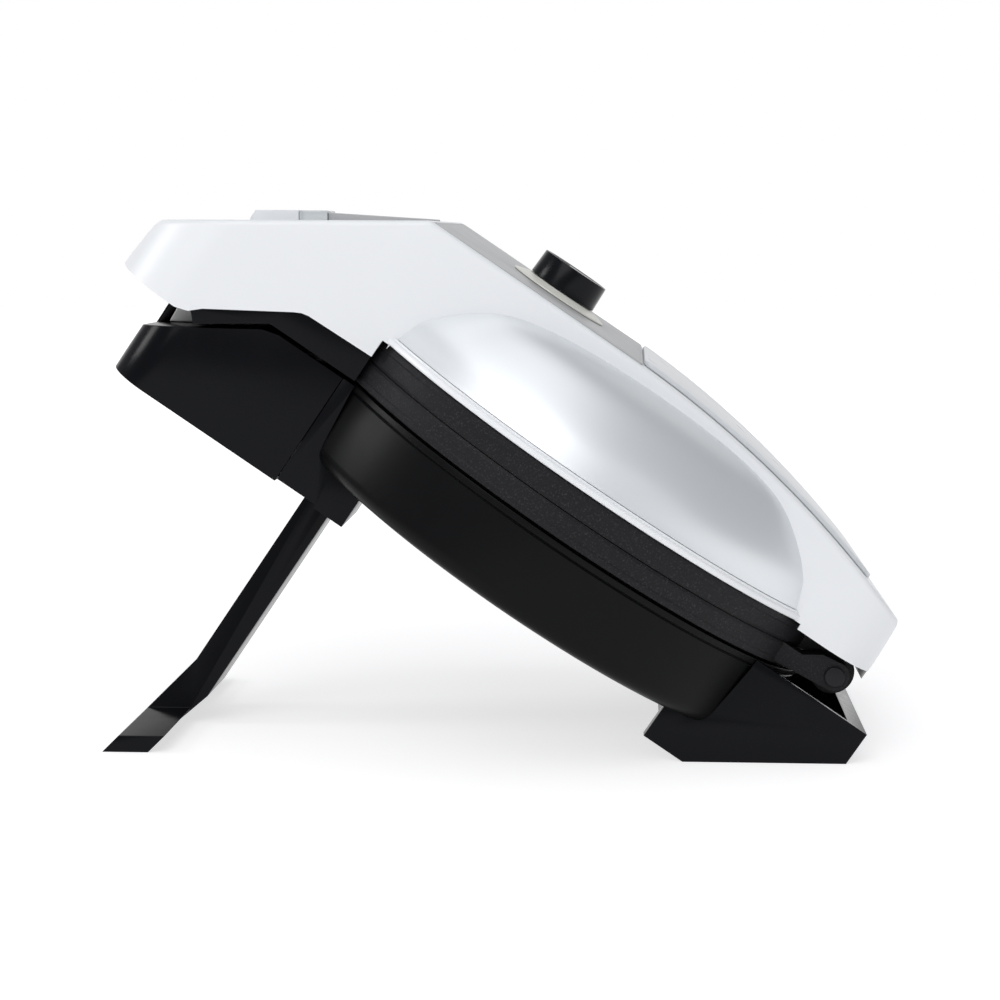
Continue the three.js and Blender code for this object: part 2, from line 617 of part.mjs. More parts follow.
function timerBody() {
  const can = joined(disc(17, 92.6, 105.6, 36), disc(6.2, 105, 108, 28));
  const bore = disc(SHAFT_R + GAP, 103, 112, 24);
  return piece('thermostat_control', minus(can, bore).translate([KNOB.x, 0, 0]), PHENOLIC);
}

// The pod and its lens sit on the sloping top of the handle, so they are drawn flat and tipped up.
function indicatorPod() {
  const holder = new THREE.Group();
  holder.position.set(BAND.tipX + 4.1, 0, 56.6);
  holder.rotation.y = -slopeAngle;
  const [from, lensFrom, to, half, height] = [25, 46, 57.4, 12, 4.2];
  const side = [[from, GAP], [lensFrom - GAP / 2, GAP], [lensFrom - GAP / 2, height], [from + 3.4, height]];
  const podPlan = upright(roundedPlan(from, lensFrom + 20, half, 9, 2), 0, 10);
  const pod = across(side, -half, half).intersect(podPlan);
  const lens = across([[lensFrom, GAP], [to, GAP], [to, height], [lensFrom, height]], -half, half).intersect(
    upright(roundedPlan(lensFrom - 20, to, half, 2, 2), 0, 10),
  );
  const ramp = across([[to + GAP, GAP], [100, GAP], [100, 0.9], [to + GAP, 3.4]], -half + 1.5, half - 1.5);
  const board = box(22, 60, -13, 13, -9, -7.4);
  holder.add(
    piece('indicator_pod', pod, WHITE),
    piece('indicator_lens', lens, LENS),
    piece('handle_ramp', ramp, GREY_PANEL),
    piece('indicator_board', board, BOARD),
  );
  for (const [name, y] of [['power_lamp', -5], ['ready_lamp', 5]]) {
    const dome = [[0, -7.1], [2.5, -7.1], [2.5, -4.6], [1.6, -3.9], [0, -3.7]];
    const lamp = turned(dome, 18).translate([52, y, 0]);
    holder.add(piece(name, lamp, LENS));
  }
  return holder;
}

// ---- latch ----
function latchLever() {
  const { x, z, half, hookZ } = LATCH;
  const strip = across([
    [x - 1.4, hookZ - 1.6], [x + 4.6, hookZ - 1.2], [x + 4.6, hookZ + 0.4], [x + 1.2, hookZ + 1], [x + 1.2, z],
    [x - 1.4, z],
  ], -half, half);
  const barrel = axle(x, z, 3, -half, half, 20);
  return piece('latch_lever', minus(joined(strip, barrel), axle(x, z, 1.6, -40, 40, 16)), BLACK);
}

function latchPin() {
  return piece('latch_pin', axle(LATCH.x, LATCH.z, 1.3, -LATCH.pinHalf, LATCH.pinHalf, 16), STEEL);
}

function latchSpring() {
  const coil = minus(axle(LATCH.x, LATCH.z, 2.6, 27.8, 30.6, 20), axle(LATCH.x, LATCH.z, 1.6, 20, 40, 20));
  return piece('latch_spring', coil, STEEL);
}

// Light grey block on the base handle that the lid handle closes onto, in front of the hand gap.
function latchKeeper() {
  const { frontX, noseZ } = BASE_HANDLE;
  const slope = (45.2 - noseZ) / (-133.5 - frontX - 0.8);
  const topOfHandle = (x) => noseZ + (x - frontX - 0.8) * slope;
  const [x0, x1] = [-169.6, -160.6];
  const side = [[x0, topOfHandle(x0) + 0.4], [x1, topOfHandle(x1) + 0.4], [x1 - 0.6, 34.2], [x0 - 0.6, 34.2]];
  return piece('latch_keeper', across(side, -30, 30), LATCH_GREY);
}

function lid() {
  return group(
    lidCover(), ...sideCaps(), lidInnerHousing(), rearLiner(), controlPanel(), topPlate(), bezel(), knobParts(),
    timerBody(), indicatorPod(), upperPlate(), heaterRing('upper_heating_element', 78, 1),
    heatShield('upper_heat_shield', 88.6, 1), thermostat('upper_thermostat', 0, 0, PLATE.seamZ + PLATE.depth + GAP, 1),
    latchLever(), latchPin(), latchSpring(),
  );
}

// ---- the whole appliance, leaned back and set on the table ----
const appliance = group(base(), standLeg(), lid());
appliance.rotation.y = TILT;
const donutMaker = group(appliance);
const extent = new THREE.Box3().setFromObject(donutMaker, true);
appliance.position.x = -(extent.min.x + extent.max.x) / 2;
appliance.position.z = -extent.min.z;

export default donutMaker;
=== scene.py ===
"""Studio model of a donut maker: a clamshell baker on its fold-out stand, leaning towards its hinge.

Every piece is drawn in the level frame of the appliance, in millimetres (x from the handle towards the
hinge, z up from the feet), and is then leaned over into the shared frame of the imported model, in metres.
"""
import json
import logging
import math
from dataclasses import dataclass, field
from enum import Enum
from typing import Callable, Iterable, Sequence

import bmesh
import bpy
from mathutils import Matrix, Vector


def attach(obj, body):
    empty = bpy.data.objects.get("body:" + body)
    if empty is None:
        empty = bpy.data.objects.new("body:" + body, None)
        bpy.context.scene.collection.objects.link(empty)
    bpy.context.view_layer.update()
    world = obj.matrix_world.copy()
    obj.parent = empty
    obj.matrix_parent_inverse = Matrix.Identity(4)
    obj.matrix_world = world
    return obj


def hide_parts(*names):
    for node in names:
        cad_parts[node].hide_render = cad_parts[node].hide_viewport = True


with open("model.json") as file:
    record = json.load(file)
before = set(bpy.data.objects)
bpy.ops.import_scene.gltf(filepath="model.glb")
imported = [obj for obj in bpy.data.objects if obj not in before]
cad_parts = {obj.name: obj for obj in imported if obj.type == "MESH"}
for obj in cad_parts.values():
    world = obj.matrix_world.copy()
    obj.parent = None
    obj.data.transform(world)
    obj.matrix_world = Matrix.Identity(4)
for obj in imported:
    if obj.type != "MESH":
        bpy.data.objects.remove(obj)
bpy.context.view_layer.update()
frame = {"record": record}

logging.basicConfig(level=logging.INFO, format="%(message)s")
LOG = logging.getLogger("donut_maker")

Point2 = tuple[float, float]
Point3 = tuple[float, float, float]
Colour = tuple[float, float, float]

TILT = math.radians(34.0)
HINGE: Point2 = (116.2, 57.9)
CREST: Point2 = (-103.0, 114.2)


class Body(Enum):
    """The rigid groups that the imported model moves."""

    BASE = "base"
    LID = "lid"
    KNOB = "knob"
    LATCH = "latch"
    STAND = "stand"


# ---- Frames ----
@dataclass(frozen=True)
class LevelFrame:
    """Places the appliance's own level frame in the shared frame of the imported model."""

    hinge: Point3 = (HINGE[0], 0.0, HINGE[1])

    def matrix(self) -> Matrix:
        """Gives the transform from level millimetres to shared metres."""
        joints = {joint["name"]: joint for joint in frame["record"]["behaviour"]["joints"]}
        turned = Matrix.Rotation(TILT, 4, "Y") @ Matrix.Scale(0.001, 4)
        origin = Vector(joints["lid_hinge"]["pos_m"]) - turned @ Vector(self.hinge)
        return Matrix.Translation(origin) @ turned


LEVEL = LevelFrame().matrix()


# ---- Shader maths and node trees ----
def arithmetic(operation: str, reflected: bool = False) -> Callable[["Value", "Value | float"], "Value"]:
    """Makes one arithmetic operator for shader values.

    Args:
        operation: The name of the Math operation.
        reflected: Whether the value stands to the right of the sign.

    Returns:
        The method that adds the Math node and gives its result.
    """
    def method(self: "Value", other: "Value | float") -> "Value":
        first, second = (other, self) if reflected else (self, other)
        return self.tree.node("ShaderNodeMath", {"operation": operation}, {0: first, 1: second})
    return method


class Value:
    """A shader socket that can be used in ordinary arithmetic."""

    def __init__(self, tree: "NodeTree", socket: bpy.types.NodeSocket) -> None:
        """Keeps the socket and the tree that its maths nodes go into.

        Args:
            tree: The tree that new nodes are added to.
            socket: The output socket that holds this value.
        """
        self.tree = tree
        self.socket = socket

    __add__ = arithmetic("ADD")
    __radd__ = arithmetic("ADD", reflected=True)
    __sub__ = arithmetic("SUBTRACT")
    __rsub__ = arithmetic("SUBTRACT", reflected=True)
    __mul__ = arithmetic("MULTIPLY")
    __rmul__ = arithmetic("MULTIPLY", reflected=True)


def set_stops(ramp: bpy.types.ColorRamp, stops: Sequence[tuple[float, tuple]]) -> None:
    """Sets the stops of a colour ramp.

    Args:
        ramp: The ramp.
        stops: The position and the colour of each stop.
    """
    while len(ramp.elements) < len(stops):
        ramp.elements.new(0.5)
    for element, (position, colour) in zip(ramp.elements, stops):
        element.position = position
        element.color = colour


def add_node(tree: bpy.types.NodeTree, kind: str, settings: dict | None = None,
             inputs: dict | None = None) -> bpy.types.Node:
    """Adds a node of any kind to a shader or geometry tree.

    Args:
        tree: The tree that the node goes into.
        kind: The node type's identifier.
        settings: Properties of the node, set before its sockets; a ramp takes its stops as "stops".
        inputs: Values, sockets or plain numbers for its inputs, by name or index.

    Returns:
        The node.
    """
    made = tree.nodes.new(kind)
    for key, value in (settings or {}).items():
        if key == "stops":
            set_stops(made.color_ramp, value)
        else:
            setattr(made, key, value)
    for key, value in (inputs or {}).items():
        source = value.socket if isinstance(value, Value) else value
        if isinstance(source, bpy.types.NodeSocket):
            tree.links.new(source, made.inputs[key])
        else:
            made.inputs[key].default_value = source
    return made


class NodeTree:
    """Builds the shader nodes of a material or a world."""

    def __init__(self, owner: bpy.types.Material | bpy.types.World) -> None:
        """Empties the owner's tree.

        Args:
            owner: The material or world that the tree belongs to.
        """
        owner.use_nodes = True
        self.owner = owner
        self.tree = owner.node_tree
        self.tree.nodes.clear()

    def node(self, kind: str, settings: dict | None = None, inputs: dict | None = None,
             output: int | str = 0) -> Value:
        """Adds any node and gives one of its outputs.

        Args:
            kind: The node type's identifier.
            settings: Properties of the node.
            inputs: Values or links of its input sockets, by name or index.
            output: The output socket to give back.

        Returns:
            The chosen output as a value.
        """
        return Value(self, add_node(self.tree, kind, settings, inputs).outputs[output])

    def place(self, scale: Point3 = (1.0, 1.0, 1.0)) -> Value:
        """Gives object coordinates turned into the level frame, in metres, and scaled.

        Args:
            scale: Stretch of the pattern along the appliance's own axes.

        Returns:
            The coordinates as a vector value.
        """
        coordinates = self.node("ShaderNodeTexCoord", output="Object")
        levelling = (0.0, -TILT, 0.0)
        turned = self.node("ShaderNodeMapping", inputs={"Vector": coordinates, "Rotation": levelling})
        return self.node("ShaderNodeMapping", inputs={"Vector": turned, "Scale": scale})

    def noise(self, scale: float, detail: float = 3.0, place: Value | None = None) -> Value:
        """Gives a noise pattern.

        Args:
            scale: Cells per metre.
            detail: Octaves of finer noise.
            place: The coordinates to read.

        Returns:
            The pattern, from 0 to 1.
        """
        inputs = {"Vector": place or self.place(), "Scale": scale, "Detail": detail, "Roughness": 0.55}
        return self.node("ShaderNodeTexNoise", inputs=inputs)

    def tint(self, factor: Value, low: Colour, high: Colour) -> Value:
        """Mixes two colours by a factor.

        Args:
            factor: 0 for the first colour, 1 for the second.
            low: The first colour.
            high: The second colour.

        Returns:
            The mixed colour.
        """
        first_colour, second_colour, mixed_colour = 6, 7, 2
        inputs = {"Factor": factor, first_colour: (*low, 1.0), second_colour: (*high, 1.0)}
        return self.node("ShaderNodeMix", {"data_type": "RGBA"}, inputs, mixed_colour)

    def bump(self, height: Value, strength: float, distance: float) -> Value:
        """Turns a height into a normal.

        Args:
            height: The height pattern.
            strength: How much of it shows.
            distance: The height of a full step, in metres.

        Returns:
            The normal.
        """
        inputs = {"Height": height, "Strength": strength, "Distance": distance}
        return self.node("ShaderNodeBump", inputs=inputs)

    def surface(self, inputs: dict) -> bpy.types.Material:
        """Closes the tree with a Principled surface.

        Args:
            inputs: The values or links of the surface's sockets.

        Returns:
            The finished material.
        """
        shader = self.node("ShaderNodeBsdfPrincipled", inputs=inputs)
        add_node(self.tree, "ShaderNodeOutputMaterial", inputs={"Surface": shader})
        return self.owner


# ---- Finishes ----
@dataclass(frozen=True)
class Finish:
    """A finish that knows how to make its own material."""

    name: str

    def shaded(self, share: float) -> Colour:
        """Gives the finish's own colour, made darker or lighter.

        Args:
            share: What each channel is multiplied by; none goes past 1.

        Returns:
            The colour.
        """
        return tuple(min(1.0, channel * share) for channel in self.colour)

    def material(self) -> bpy.types.Material:
        """Gives the material, made on first use."""
        made = bpy.data.materials.get(self.name)
        return made or self.make(NodeTree(bpy.data.materials.new(self.name)))

    def make(self, tree: NodeTree) -> bpy.types.Material:
        """Builds the material; each kind of finish has its own way.

        Args:
            tree: The empty tree to fill.

        Returns:
            The finished material.
        """
        raise NotImplementedError


@dataclass(frozen=True)
class Moulded(Finish):
    """Moulded plastic: a faint cloud of colour, uneven gloss and a fine grain."""

    colour: Colour
    roughness: float
    grain: float = 0.15
    grain_scale: float = 2600.0
    specular: float = 0.5
    spread: float = 0.05
    gloss_shift: float = 0.04
    grain_height: float = 0.00006

    def make(self, tree: NodeTree) -> bpy.types.Material:
        """Builds the material."""
        cloud = tree.noise(14.0, 4.0)
        fine = tree.noise(self.grain_scale, 2.0)
        smudge = tree.noise(60.0, 5.0, tree.place((1.0, 1.6, 0.7)))
        uneven = (smudge - 0.5) * self.gloss_shift * 4.0
        return tree.surface({
            "Base Color": tree.tint(cloud, self.shaded(1.0 - self.spread), self.shaded(1.0 + self.spread)),
            "Roughness": self.roughness + uneven + (fine - 0.5) * self.gloss_shift,
            "Specular IOR Level": self.specular,
            "Normal": tree.bump(fine, self.grain, self.grain_height),
        })


@dataclass(frozen=True)
class Lacquer(Finish):
    """Silver-white lacquer with a fine metallic flake under a clear coat."""

    colour: Colour
    metallic: float
    roughness: float
    flake_scale: float = 2400.0
    coat: float = 0.15
    coat_roughness: float = 0.35

    def make(self, tree: NodeTree) -> bpy.types.Material:
        """Builds the material."""
        cells = {"Vector": tree.place(), "Scale": self.flake_scale}
        flake = tree.node("ShaderNodeTexVoronoi", inputs=cells, output="Distance")
        cloud = tree.noise(9.0, 3.0)
        orange_peel = tree.noise(420.0, 1.0)
        return tree.surface({
            "Base Color": tree.tint(flake * 0.3 + cloud * 0.7, self.shaded(0.985), self.colour),
            "Metallic": self.metallic,
            "Roughness": self.roughness + (flake - 0.5) * 0.02 + (cloud - 0.5) * 0.03,
            "Coat Weight": self.coat,
            "Coat Roughness": self.coat_roughness,
            "Normal": tree.bump(orange_peel, 0.02, 0.00003),
        })


@dataclass(frozen=True)
class Coating(Finish):
    """Non-stick coating: dark grey with pale speckles and a fine orange-peel."""

    base: Colour = (0.011, 0.011, 0.0125)
    speckle: Colour = (0.05, 0.05, 0.055)
    speckle_stops: tuple = ((0.56, (0, 0, 0, 1)), (0.70, (1, 1, 1, 1)))

    def make(self, tree: NodeTree) -> bpy.types.Material:
        """Builds the material."""
        coarse = tree.noise(1500.0, 2.0)
        patches = tree.noise(260.0, 3.0)
        dots = tree.node("ShaderNodeValToRGB", {"stops": self.speckle_stops}, {"Fac": coarse})
        mask = dots * (patches * 0.9 + 0.1)
        return tree.surface({
            "Base Color": tree.tint(mask, self.base, self.speckle),
            "Metallic": 0.1,
            "Roughness": 0.52 + (patches - 0.5) * 0.2,
            "Specular IOR Level": 0.18,
            "Normal": tree.bump(coarse, 0.45, 0.00012),
        })


@dataclass(frozen=True)
class Metal(Finish):
    """Bare metal with drawn or turned scratches."""

    colour: Colour
    roughness: float
    stretch: Point3 = (1.0, 14.0, 1.0)

    def make(self, tree: NodeTree) -> bpy.types.Material:
        """Builds the material."""
        lines = tree.noise(320.0, 4.0, tree.place(self.stretch))
        stain = tree.noise(40.0, 3.0)
        return tree.surface({
            "Base Color": tree.tint(stain, self.shaded(0.78), self.colour),
            "Metallic": 1.0,
            "Roughness": self.roughness + (lines - 0.5) * 0.18,
            "Normal": tree.bump(lines, 0.2, 0.00008),
        })


@dataclass(frozen=True)
class Translucent(Finish):
    """A moulded lamp lens that lets some light through."""

    colour: Colour
    transmission: float

    def make(self, tree: NodeTree) -> bpy.types.Material:
        """Builds the material."""
        bands = {"Vector": tree.place(), "Scale": 160.0}
        prism = tree.node("ShaderNodeTexWave", {"bands_direction": "Y"}, bands, "Fac")
        cloud = tree.noise(30.0)
        return tree.surface({
            "Base Color": tree.tint(cloud, self.shaded(0.9), self.colour),
            "Roughness": 0.12 + cloud * 0.1,
            "Transmission Weight": self.transmission,
            "IOR": 1.49,
            "Normal": tree.bump(prism, 0.12, 0.0002),
        })


@dataclass(frozen=True)
class Board(Finish):
    """A printed circuit board with traces under its lacquer."""

    def make(self, tree: NodeTree) -> bpy.types.Material:
        """Builds the material."""
        bricks = {"Vector": tree.place(), "Scale": 90.0}
        cells = tree.node("ShaderNodeTexBrick", {"offset": 0.3}, bricks, "Fac")
        grain = tree.noise(700.0)
        return tree.surface({
            "Base Color": tree.tint(cells, (0.02, 0.11, 0.05), (0.05, 0.2, 0.09)),
            "Roughness": 0.35 + grain * 0.15,
            "Normal": tree.bump(cells, 0.3, 0.0001),
        })


@dataclass(frozen=True)
class Paper(Finish):
    """White backdrop paper that glows a little, more so far behind the object."""

    def make(self, tree: NodeTree) -> bpy.types.Material:
        """Builds the material."""
        place = tree.node("ShaderNodeTexCoord", output="Object")
        depth = tree.node("ShaderNodeSeparateXYZ", inputs={0: place}, output="Y")
        fibre = tree.noise(900.0, 2.0, place)
        far = tree.node("ShaderNodeClamp", inputs={0: (depth - 0.35) * 0.9})
        return tree.surface({
            "Base Color": tree.tint(fibre, (0.49, 0.49, 0.49), (0.51, 0.51, 0.51)),
            "Roughness": 0.8 + fibre * 0.1,
            "Specular IOR Level": 0.1,
            "Emission Color": tree.tint(far, (0.66, 0.66, 0.665), (1.0, 1.0, 1.0)),
            "Emission Strength": 1.0,
        })


WHITE = Moulded("white_shell", (0.80, 0.815, 0.835), 0.34, grain=0.06, spread=0.012)
PALE = Moulded("pale_shell", (0.66, 0.68, 0.70), 0.30, grain=0.06, spread=0.015)
PANEL_GREY = Moulded("panel_shell", (0.44, 0.445, 0.45), 0.42, grain=0.2, spread=0.03)
WARM_GREY = Moulded("bezel_shell", (0.72, 0.715, 0.66), 0.33, grain=0.08, spread=0.03)
# Latch keeper: its own light grey, made paler still as painted light, because it sits in shade in the gap
# between lid and base.
KEEPER_GREY_WITH_PAINTED_LIGHT = Moulded("keeper_shell_painted_light", (0.86, 0.855, 0.84), 0.4, grain=0.15, spread=0.03)
BLACK = Moulded("black_shell", (0.0026, 0.0029, 0.0042), 0.22, grain=0.1, specular=0.12, spread=0.12)
BLACK_SATIN = Moulded(
    "black_satin_shell", (0.0022, 0.0023, 0.0027), 0.34, grain=0.2, specular=0.12, spread=0.12)
KNOB_BLACK = Moulded("knob_shell", (0.003, 0.0034, 0.005), 0.2, grain=0.06, specular=0.17, spread=0.1)
RUBBER = Moulded("rubber_grip", (0.012, 0.012, 0.012), 0.75, grain=0.5, specular=0.25, spread=0.15)
PHENOLIC = Moulded("brown_phenolic", (0.07, 0.045, 0.03), 0.45, grain=0.3, spread=0.15)
SILVER = Lacquer("silver_lacquer", (0.80, 0.825, 0.845), 0.72, 0.43)
COATED = Coating("non_stick_coating")
STEEL = Metal("plain_steel", (0.62, 0.62, 0.63), 0.28)
DARK_STEEL = Metal("dark_steel", (0.16, 0.16, 0.17), 0.4)
BLACK_STEEL = Metal("blackened_steel", (0.03, 0.03, 0.032), 0.35)
LENS = Translucent("lamp_lens", (0.80, 0.84, 0.86), 0.55)
BOARD = Board("circuit_board")
PAPER = Paper("floor_paper")


# ---- Solids in the level frame ----
def fillet(points: Sequence[tuple[float, float, float]], steps: int = 6) -> list[Point2]:
    """Rounds the corners of an open line.

    Args:
        points: Corners as (x, z, radius); a radius of 0 keeps the corner sharp.
        steps: Points on each rounded corner.

    Returns:
        The rounded line.
    """
    line: list[Point2] = []
    for i, (x, z, radius) in enumerate(points):
        here = Vector((x, z))
        if radius <= 0.0 or i in (0, len(points) - 1):
            line.append((x, z))
            continue
        before = (Vector(points[i - 1][:2]) - here).normalized()
        after = (Vector(points[i + 1][:2]) - here).normalized()
        half = before.angle(after) / 2.0
        back = radius / math.tan(half)
        start, end = here + before * back, here + after * back
        for step in range(steps + 1):
            t = step / steps
            point = start * (1 - t) ** 2 + here * (2 * t * (1 - t)) + end * t**2
            line.append((point.x, point.y))
    return line


def in_scene(name: str, data: bpy.types.ID) -> bpy.types.Object:
    """Makes an object and puts it in the scene.

    Args:
        name: The object's name.
        data: Its mesh, light or camera.

    Returns:
        The object.
    """
    made = bpy.data.objects.new(name, data)
    bpy.context.scene.collection.objects.link(made)
    return made


class Solid:
    """A closed mesh in level millimetres, on its way to becoming a finished piece."""

    def __init__(self, shape: bmesh.types.BMesh | bpy.types.Mesh) -> None:
        """Takes over a bmesh or a mesh.

        Args:
            shape: The geometry, in level millimetres.
        """
        if isinstance(shape, bpy.types.Mesh):
            self.mesh = shape
            return
        bmesh.ops.recalc_face_normals(shape, faces=shape.faces)
        self.mesh = bpy.data.meshes.new("solid")
        shape.to_mesh(self.mesh)
        shape.free()

    @classmethod
    def turned(cls, profile: Sequence[Point2], segments: int = 192) -> "Solid":
        """Turns a profile about the upright axis.

        Args:
            profile: Radius and height of each point, from the axis back to the axis or closed on itself.
            segments: Steps round the circle.

        Returns:
            The turned solid.
        """
        shape = bmesh.new()
        closed = profile[0] == profile[-1]
        points = profile[:-1] if closed else profile
        rings: list[list[bmesh.types.BMVert]] = []
        for radius, height in points:
            count = 1 if radius < 1e-6 else segments
            angles = [2 * math.pi * i / segments for i in range(count)]
            circle = [(radius * math.cos(a), radius * math.sin(a), height) for a in angles]
            rings.append([shape.verts.new(point) for point in circle])
        pairs = list(zip(rings, rings[1:])) + ([(rings[-1], rings[0])] if closed else [])
        for low, high in pairs:
            for i in range(segments):
                j = (i + 1) % segments
                corners = [low[i % len(low)], low[j % len(low)], high[j % len(high)], high[i % len(high)]]
                unique = list(dict.fromkeys(corners))
                if len(unique) > 2:
                    shape.faces.new(unique)
        return cls(shape)

    @classmethod
    def _between(cls, first: Sequence[Point3], second: Sequence[Point3]) -> "Solid":
        """Closes the space between two equal outlines."""
        shape = bmesh.new()
        near = [shape.verts.new(point) for point in first]
        far = [shape.verts.new(point) for point in second]
        shape.faces.new(near)
        shape.faces.new(far[::-1])
        for i in range(len(near)):
            j = (i + 1) % len(near)
            shape.faces.new((near[i], near[j], far[j], far[i]))
        return cls(shape)

    @classmethod
    def across(cls, outline: Sequence[Point2], y0: float, y1: float) -> "Solid":
        """Extrudes a side-view outline across the width.

        Args:
            outline: The outline's x and z, closed by itself.
            y0: One side.
            y1: The other side.

        Returns:
            The extruded solid.
        """
        return cls._between([(x, y0, z) for x, z in outline], [(x, y1, z) for x, z in outline])

    @classmethod
    def upright(cls, outline: Sequence[Point2], z0: float, z1: float) -> "Solid":
        """Extrudes a plan outline upwards.

        Args:
            outline: The outline's x and y, closed by itself.
            z0: The bottom.
            z1: The top.

        Returns:
            The extruded solid.
        """
        return cls._between([(x, y, z0) for x, y in outline], [(x, y, z1) for x, y in outline])

    @classmethod
    def axle(cls, x: float, z: float, radius: float, y0: float, y1: float, chamfer: float = 0.0) -> "Solid":
        """Makes a round bar across the width.

        Args:
            x: Where its axis is, along the appliance.
            z: How high its axis is.
            radius: Its radius.
            y0: One end.
            y1: The other end.
            chamfer: The size of the rounding at both ends.

        Returns:
            The bar.
        """
        profile = fillet([(0, y0, 0), (radius, y0, chamfer), (radius, y1, chamfer), (0, y1, 0)], 3)
        solid = cls.turned(profile, 64)
        solid.mesh.transform(Matrix.Translation((x, 0, z)) @ Matrix.Rotation(-math.pi / 2, 4, "X"))
        return solid

    @classmethod
    def from_node(cls, node: str) -> "Solid":
        """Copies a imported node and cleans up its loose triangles.

        Args:
            node: The name of the node.

        Returns:
            The merged copy, in level millimetres.
        """
        shape = bmesh.new()
        shape.from_mesh(bpy.data.objects[node].data)
        shape.transform(LEVEL.inverted())
        bmesh.ops.remove_doubles(shape, verts=shape.verts, dist=0.02)
        bmesh.ops.dissolve_limit(shape, angle_limit=math.radians(0.6), verts=shape.verts, edges=shape.edges)
        return cls(shape)

    @classmethod
    def ring(cls, x: float, y: float, z: float, major: float, minor: float) -> "Solid":
        """Makes a donut-shaped ring.

        Args:
            x: Its centre along the appliance.
            y: Its centre across the appliance.
            z: Its centre's height.
            major: The radius of the ring.
            minor: The radius of its section.

        Returns:
            The ring.
        """
        around = [2 * math.pi * i / 28 for i in range(29)]
        profile = [(major + minor * math.cos(a), z + minor * math.sin(a)) for a in around]
        profile[-1] = profile[0]
        return cls.turned(profile, 56).moved(x, y)

    def moved(self, x: float, y: float = 0.0) -> "Solid":
        """Moves the solid on the level.

        Args:
            x: Along the appliance.
            y: Across the appliance.

        Returns:
            The same solid.
        """
        self.mesh.transform(Matrix.Translation((x, y, 0)))
        return self

    def opened(self) -> bmesh.types.BMesh:
        """Gives the geometry as a bmesh, with points that lie on one another merged."""
        shape = bmesh.new()
        shape.from_mesh(self.mesh)
        bmesh.ops.remove_doubles(shape, verts=shape.verts, dist=0.004)
        return shape

    def applied(self, kind: str, settings: dict, sizes: dict[str, float] | None = None) -> "Solid":
        """Applies one modifier.

        Args:
            kind: The modifier's type.
            settings: Its properties.
            sizes: Values for the inputs of a geometry node tree, by socket identifier.

        Returns:
            The changed solid.
        """
        holder = in_scene("holder", self.mesh)
        modifier = holder.modifiers.new("step", kind)
        for key, value in settings.items():
            setattr(modifier, key, value)
        for identifier, value in (sizes or {}).items():
            modifier[identifier] = value
        depsgraph = bpy.context.evaluated_depsgraph_get()
        result = bpy.data.meshes.new_from_object(holder.evaluated_get(depsgraph))
        bpy.data.objects.remove(holder)
        return Solid(result)

    def _boolean(self, other: "Solid", operation: str) -> "Solid":
        """Combines this solid with another one."""
        tool = in_scene("tool", other.mesh)
        result = self.applied("BOOLEAN", {"object": tool, "operation": operation, "solver": "MANIFOLD"})
        bpy.data.objects.remove(tool)
        return result

    def minus(self, *others: "Solid") -> "Solid":
        """Cuts other solids away.

        Args:
            others: The cutters.

        Returns:
            What is left.
        """
        result = self
        for other in others:
            result = result._boolean(other, "DIFFERENCE")
        return result

    def plus(self, *others: "Solid") -> "Solid":
        """Joins other solids on.

        Args:
            others: The solids to add.

        Returns:
            The joined solid.
        """
        result = self
        for other in others:
            result = result._boolean(other, "UNION")
        return result

    def common(self, other: "Solid") -> "Solid":
        """Keeps only what two solids share.

        Args:
            other: The other solid.

        Returns:
            The shared part.
        """
        return self._boolean(other, "INTERSECT")

    def bevelled(self, width: float, angle: float = 32.0, segments: int = 3) -> "Solid":
        """Rounds the sharp edges.

        Args:
            width: The width of the rounding.
            angle: Edges sharper than this many degrees are rounded.
            segments: Faces across the rounding.

        Returns:
            The rounded solid.
        """
        return self.applied("BEVEL", {
            "width": width, "segments": segments, "limit_method": "ANGLE", "angle_limit": math.radians(angle),
            "harden_normals": False, "use_clamp_overlap": True, "miter_outer": "MITER_ARC",
        })

    def sliced(self, y: float, side: int) -> "Solid":
        """Keeps the part beyond an upright plane along the appliance and closes the cut.

        Args:
            y: The plane's distance from the middle.
            side: 1 keeps what is to the left of the plane at +y, -1 what is to the right of -y.

        Returns:
            The closed part.
        """
        shape = self.opened()
        geometry = [*shape.verts, *shape.edges, *shape.faces]
        plane = {"plane_co": (0, side * y, 0), "plane_no": (0, -side, 0)}
        bmesh.ops.bisect_plane(shape, geom=geometry, clear_outer=True, dist=1e-4, **plane)
        rim = [edge for edge in shape.edges if edge.is_boundary]
        bmesh.ops.triangle_fill(shape, edges=rim, use_beauty=True)
        return Solid(shape)

    def finish(self, name: str, finish: Finish, body: Body, nodes: Iterable[str],
               sharp: float = 38.0) -> None:
        """Leans the solid over into the shared frame and makes it a piece.

        Args:
            name: The name of the piece.
            finish: What it is made of.
            body: The rigid group it moves with.
            nodes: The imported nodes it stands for.
            sharp: Edges sharper than this many degrees stay sharp.
        """
        mesh = self.mesh
        mesh.name = name
        mesh.transform(LEVEL)
        mesh.materials.clear()
        mesh.materials.append(finish.material())
        for face in mesh.polygons:
            face.use_smooth = True
            face.material_index = 0
        mesh.set_sharp_from_angle(angle=math.radians(sharp))
        piece = in_scene(name, mesh)
        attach(piece, body.value)
        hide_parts(*nodes)
        LOG.info("%s: %d faces", name, len(mesh.polygons))


def plan(x0: float, x1: float, half: float, front: float, rear: float, steps: int = 14) -> list[Point2]:
    """Draws a plan outline with rounded corners.

    Args:
        x0: Front edge.
        x1: Rear edge.
        half: Half width.
        front: Corner radius at the front.
        rear: Corner radius at the rear.
        steps: Points on each corner.

    Returns:
        The outline.
    """
    corners = [(x1 - rear, -half + rear, rear, -90), (x1 - rear, half - rear, rear, 0),
               (x0 + front, half - front, front, 90), (x0 + front, -half + front, front, 180)]
    outline = []
    for x, y, radius, start in corners:
        for step in range(steps + 1):
            angle = math.radians(start + 90 * step / steps)
            outline.append((x + radius * math.cos(angle), y + radius * math.sin(angle)))
    return outline


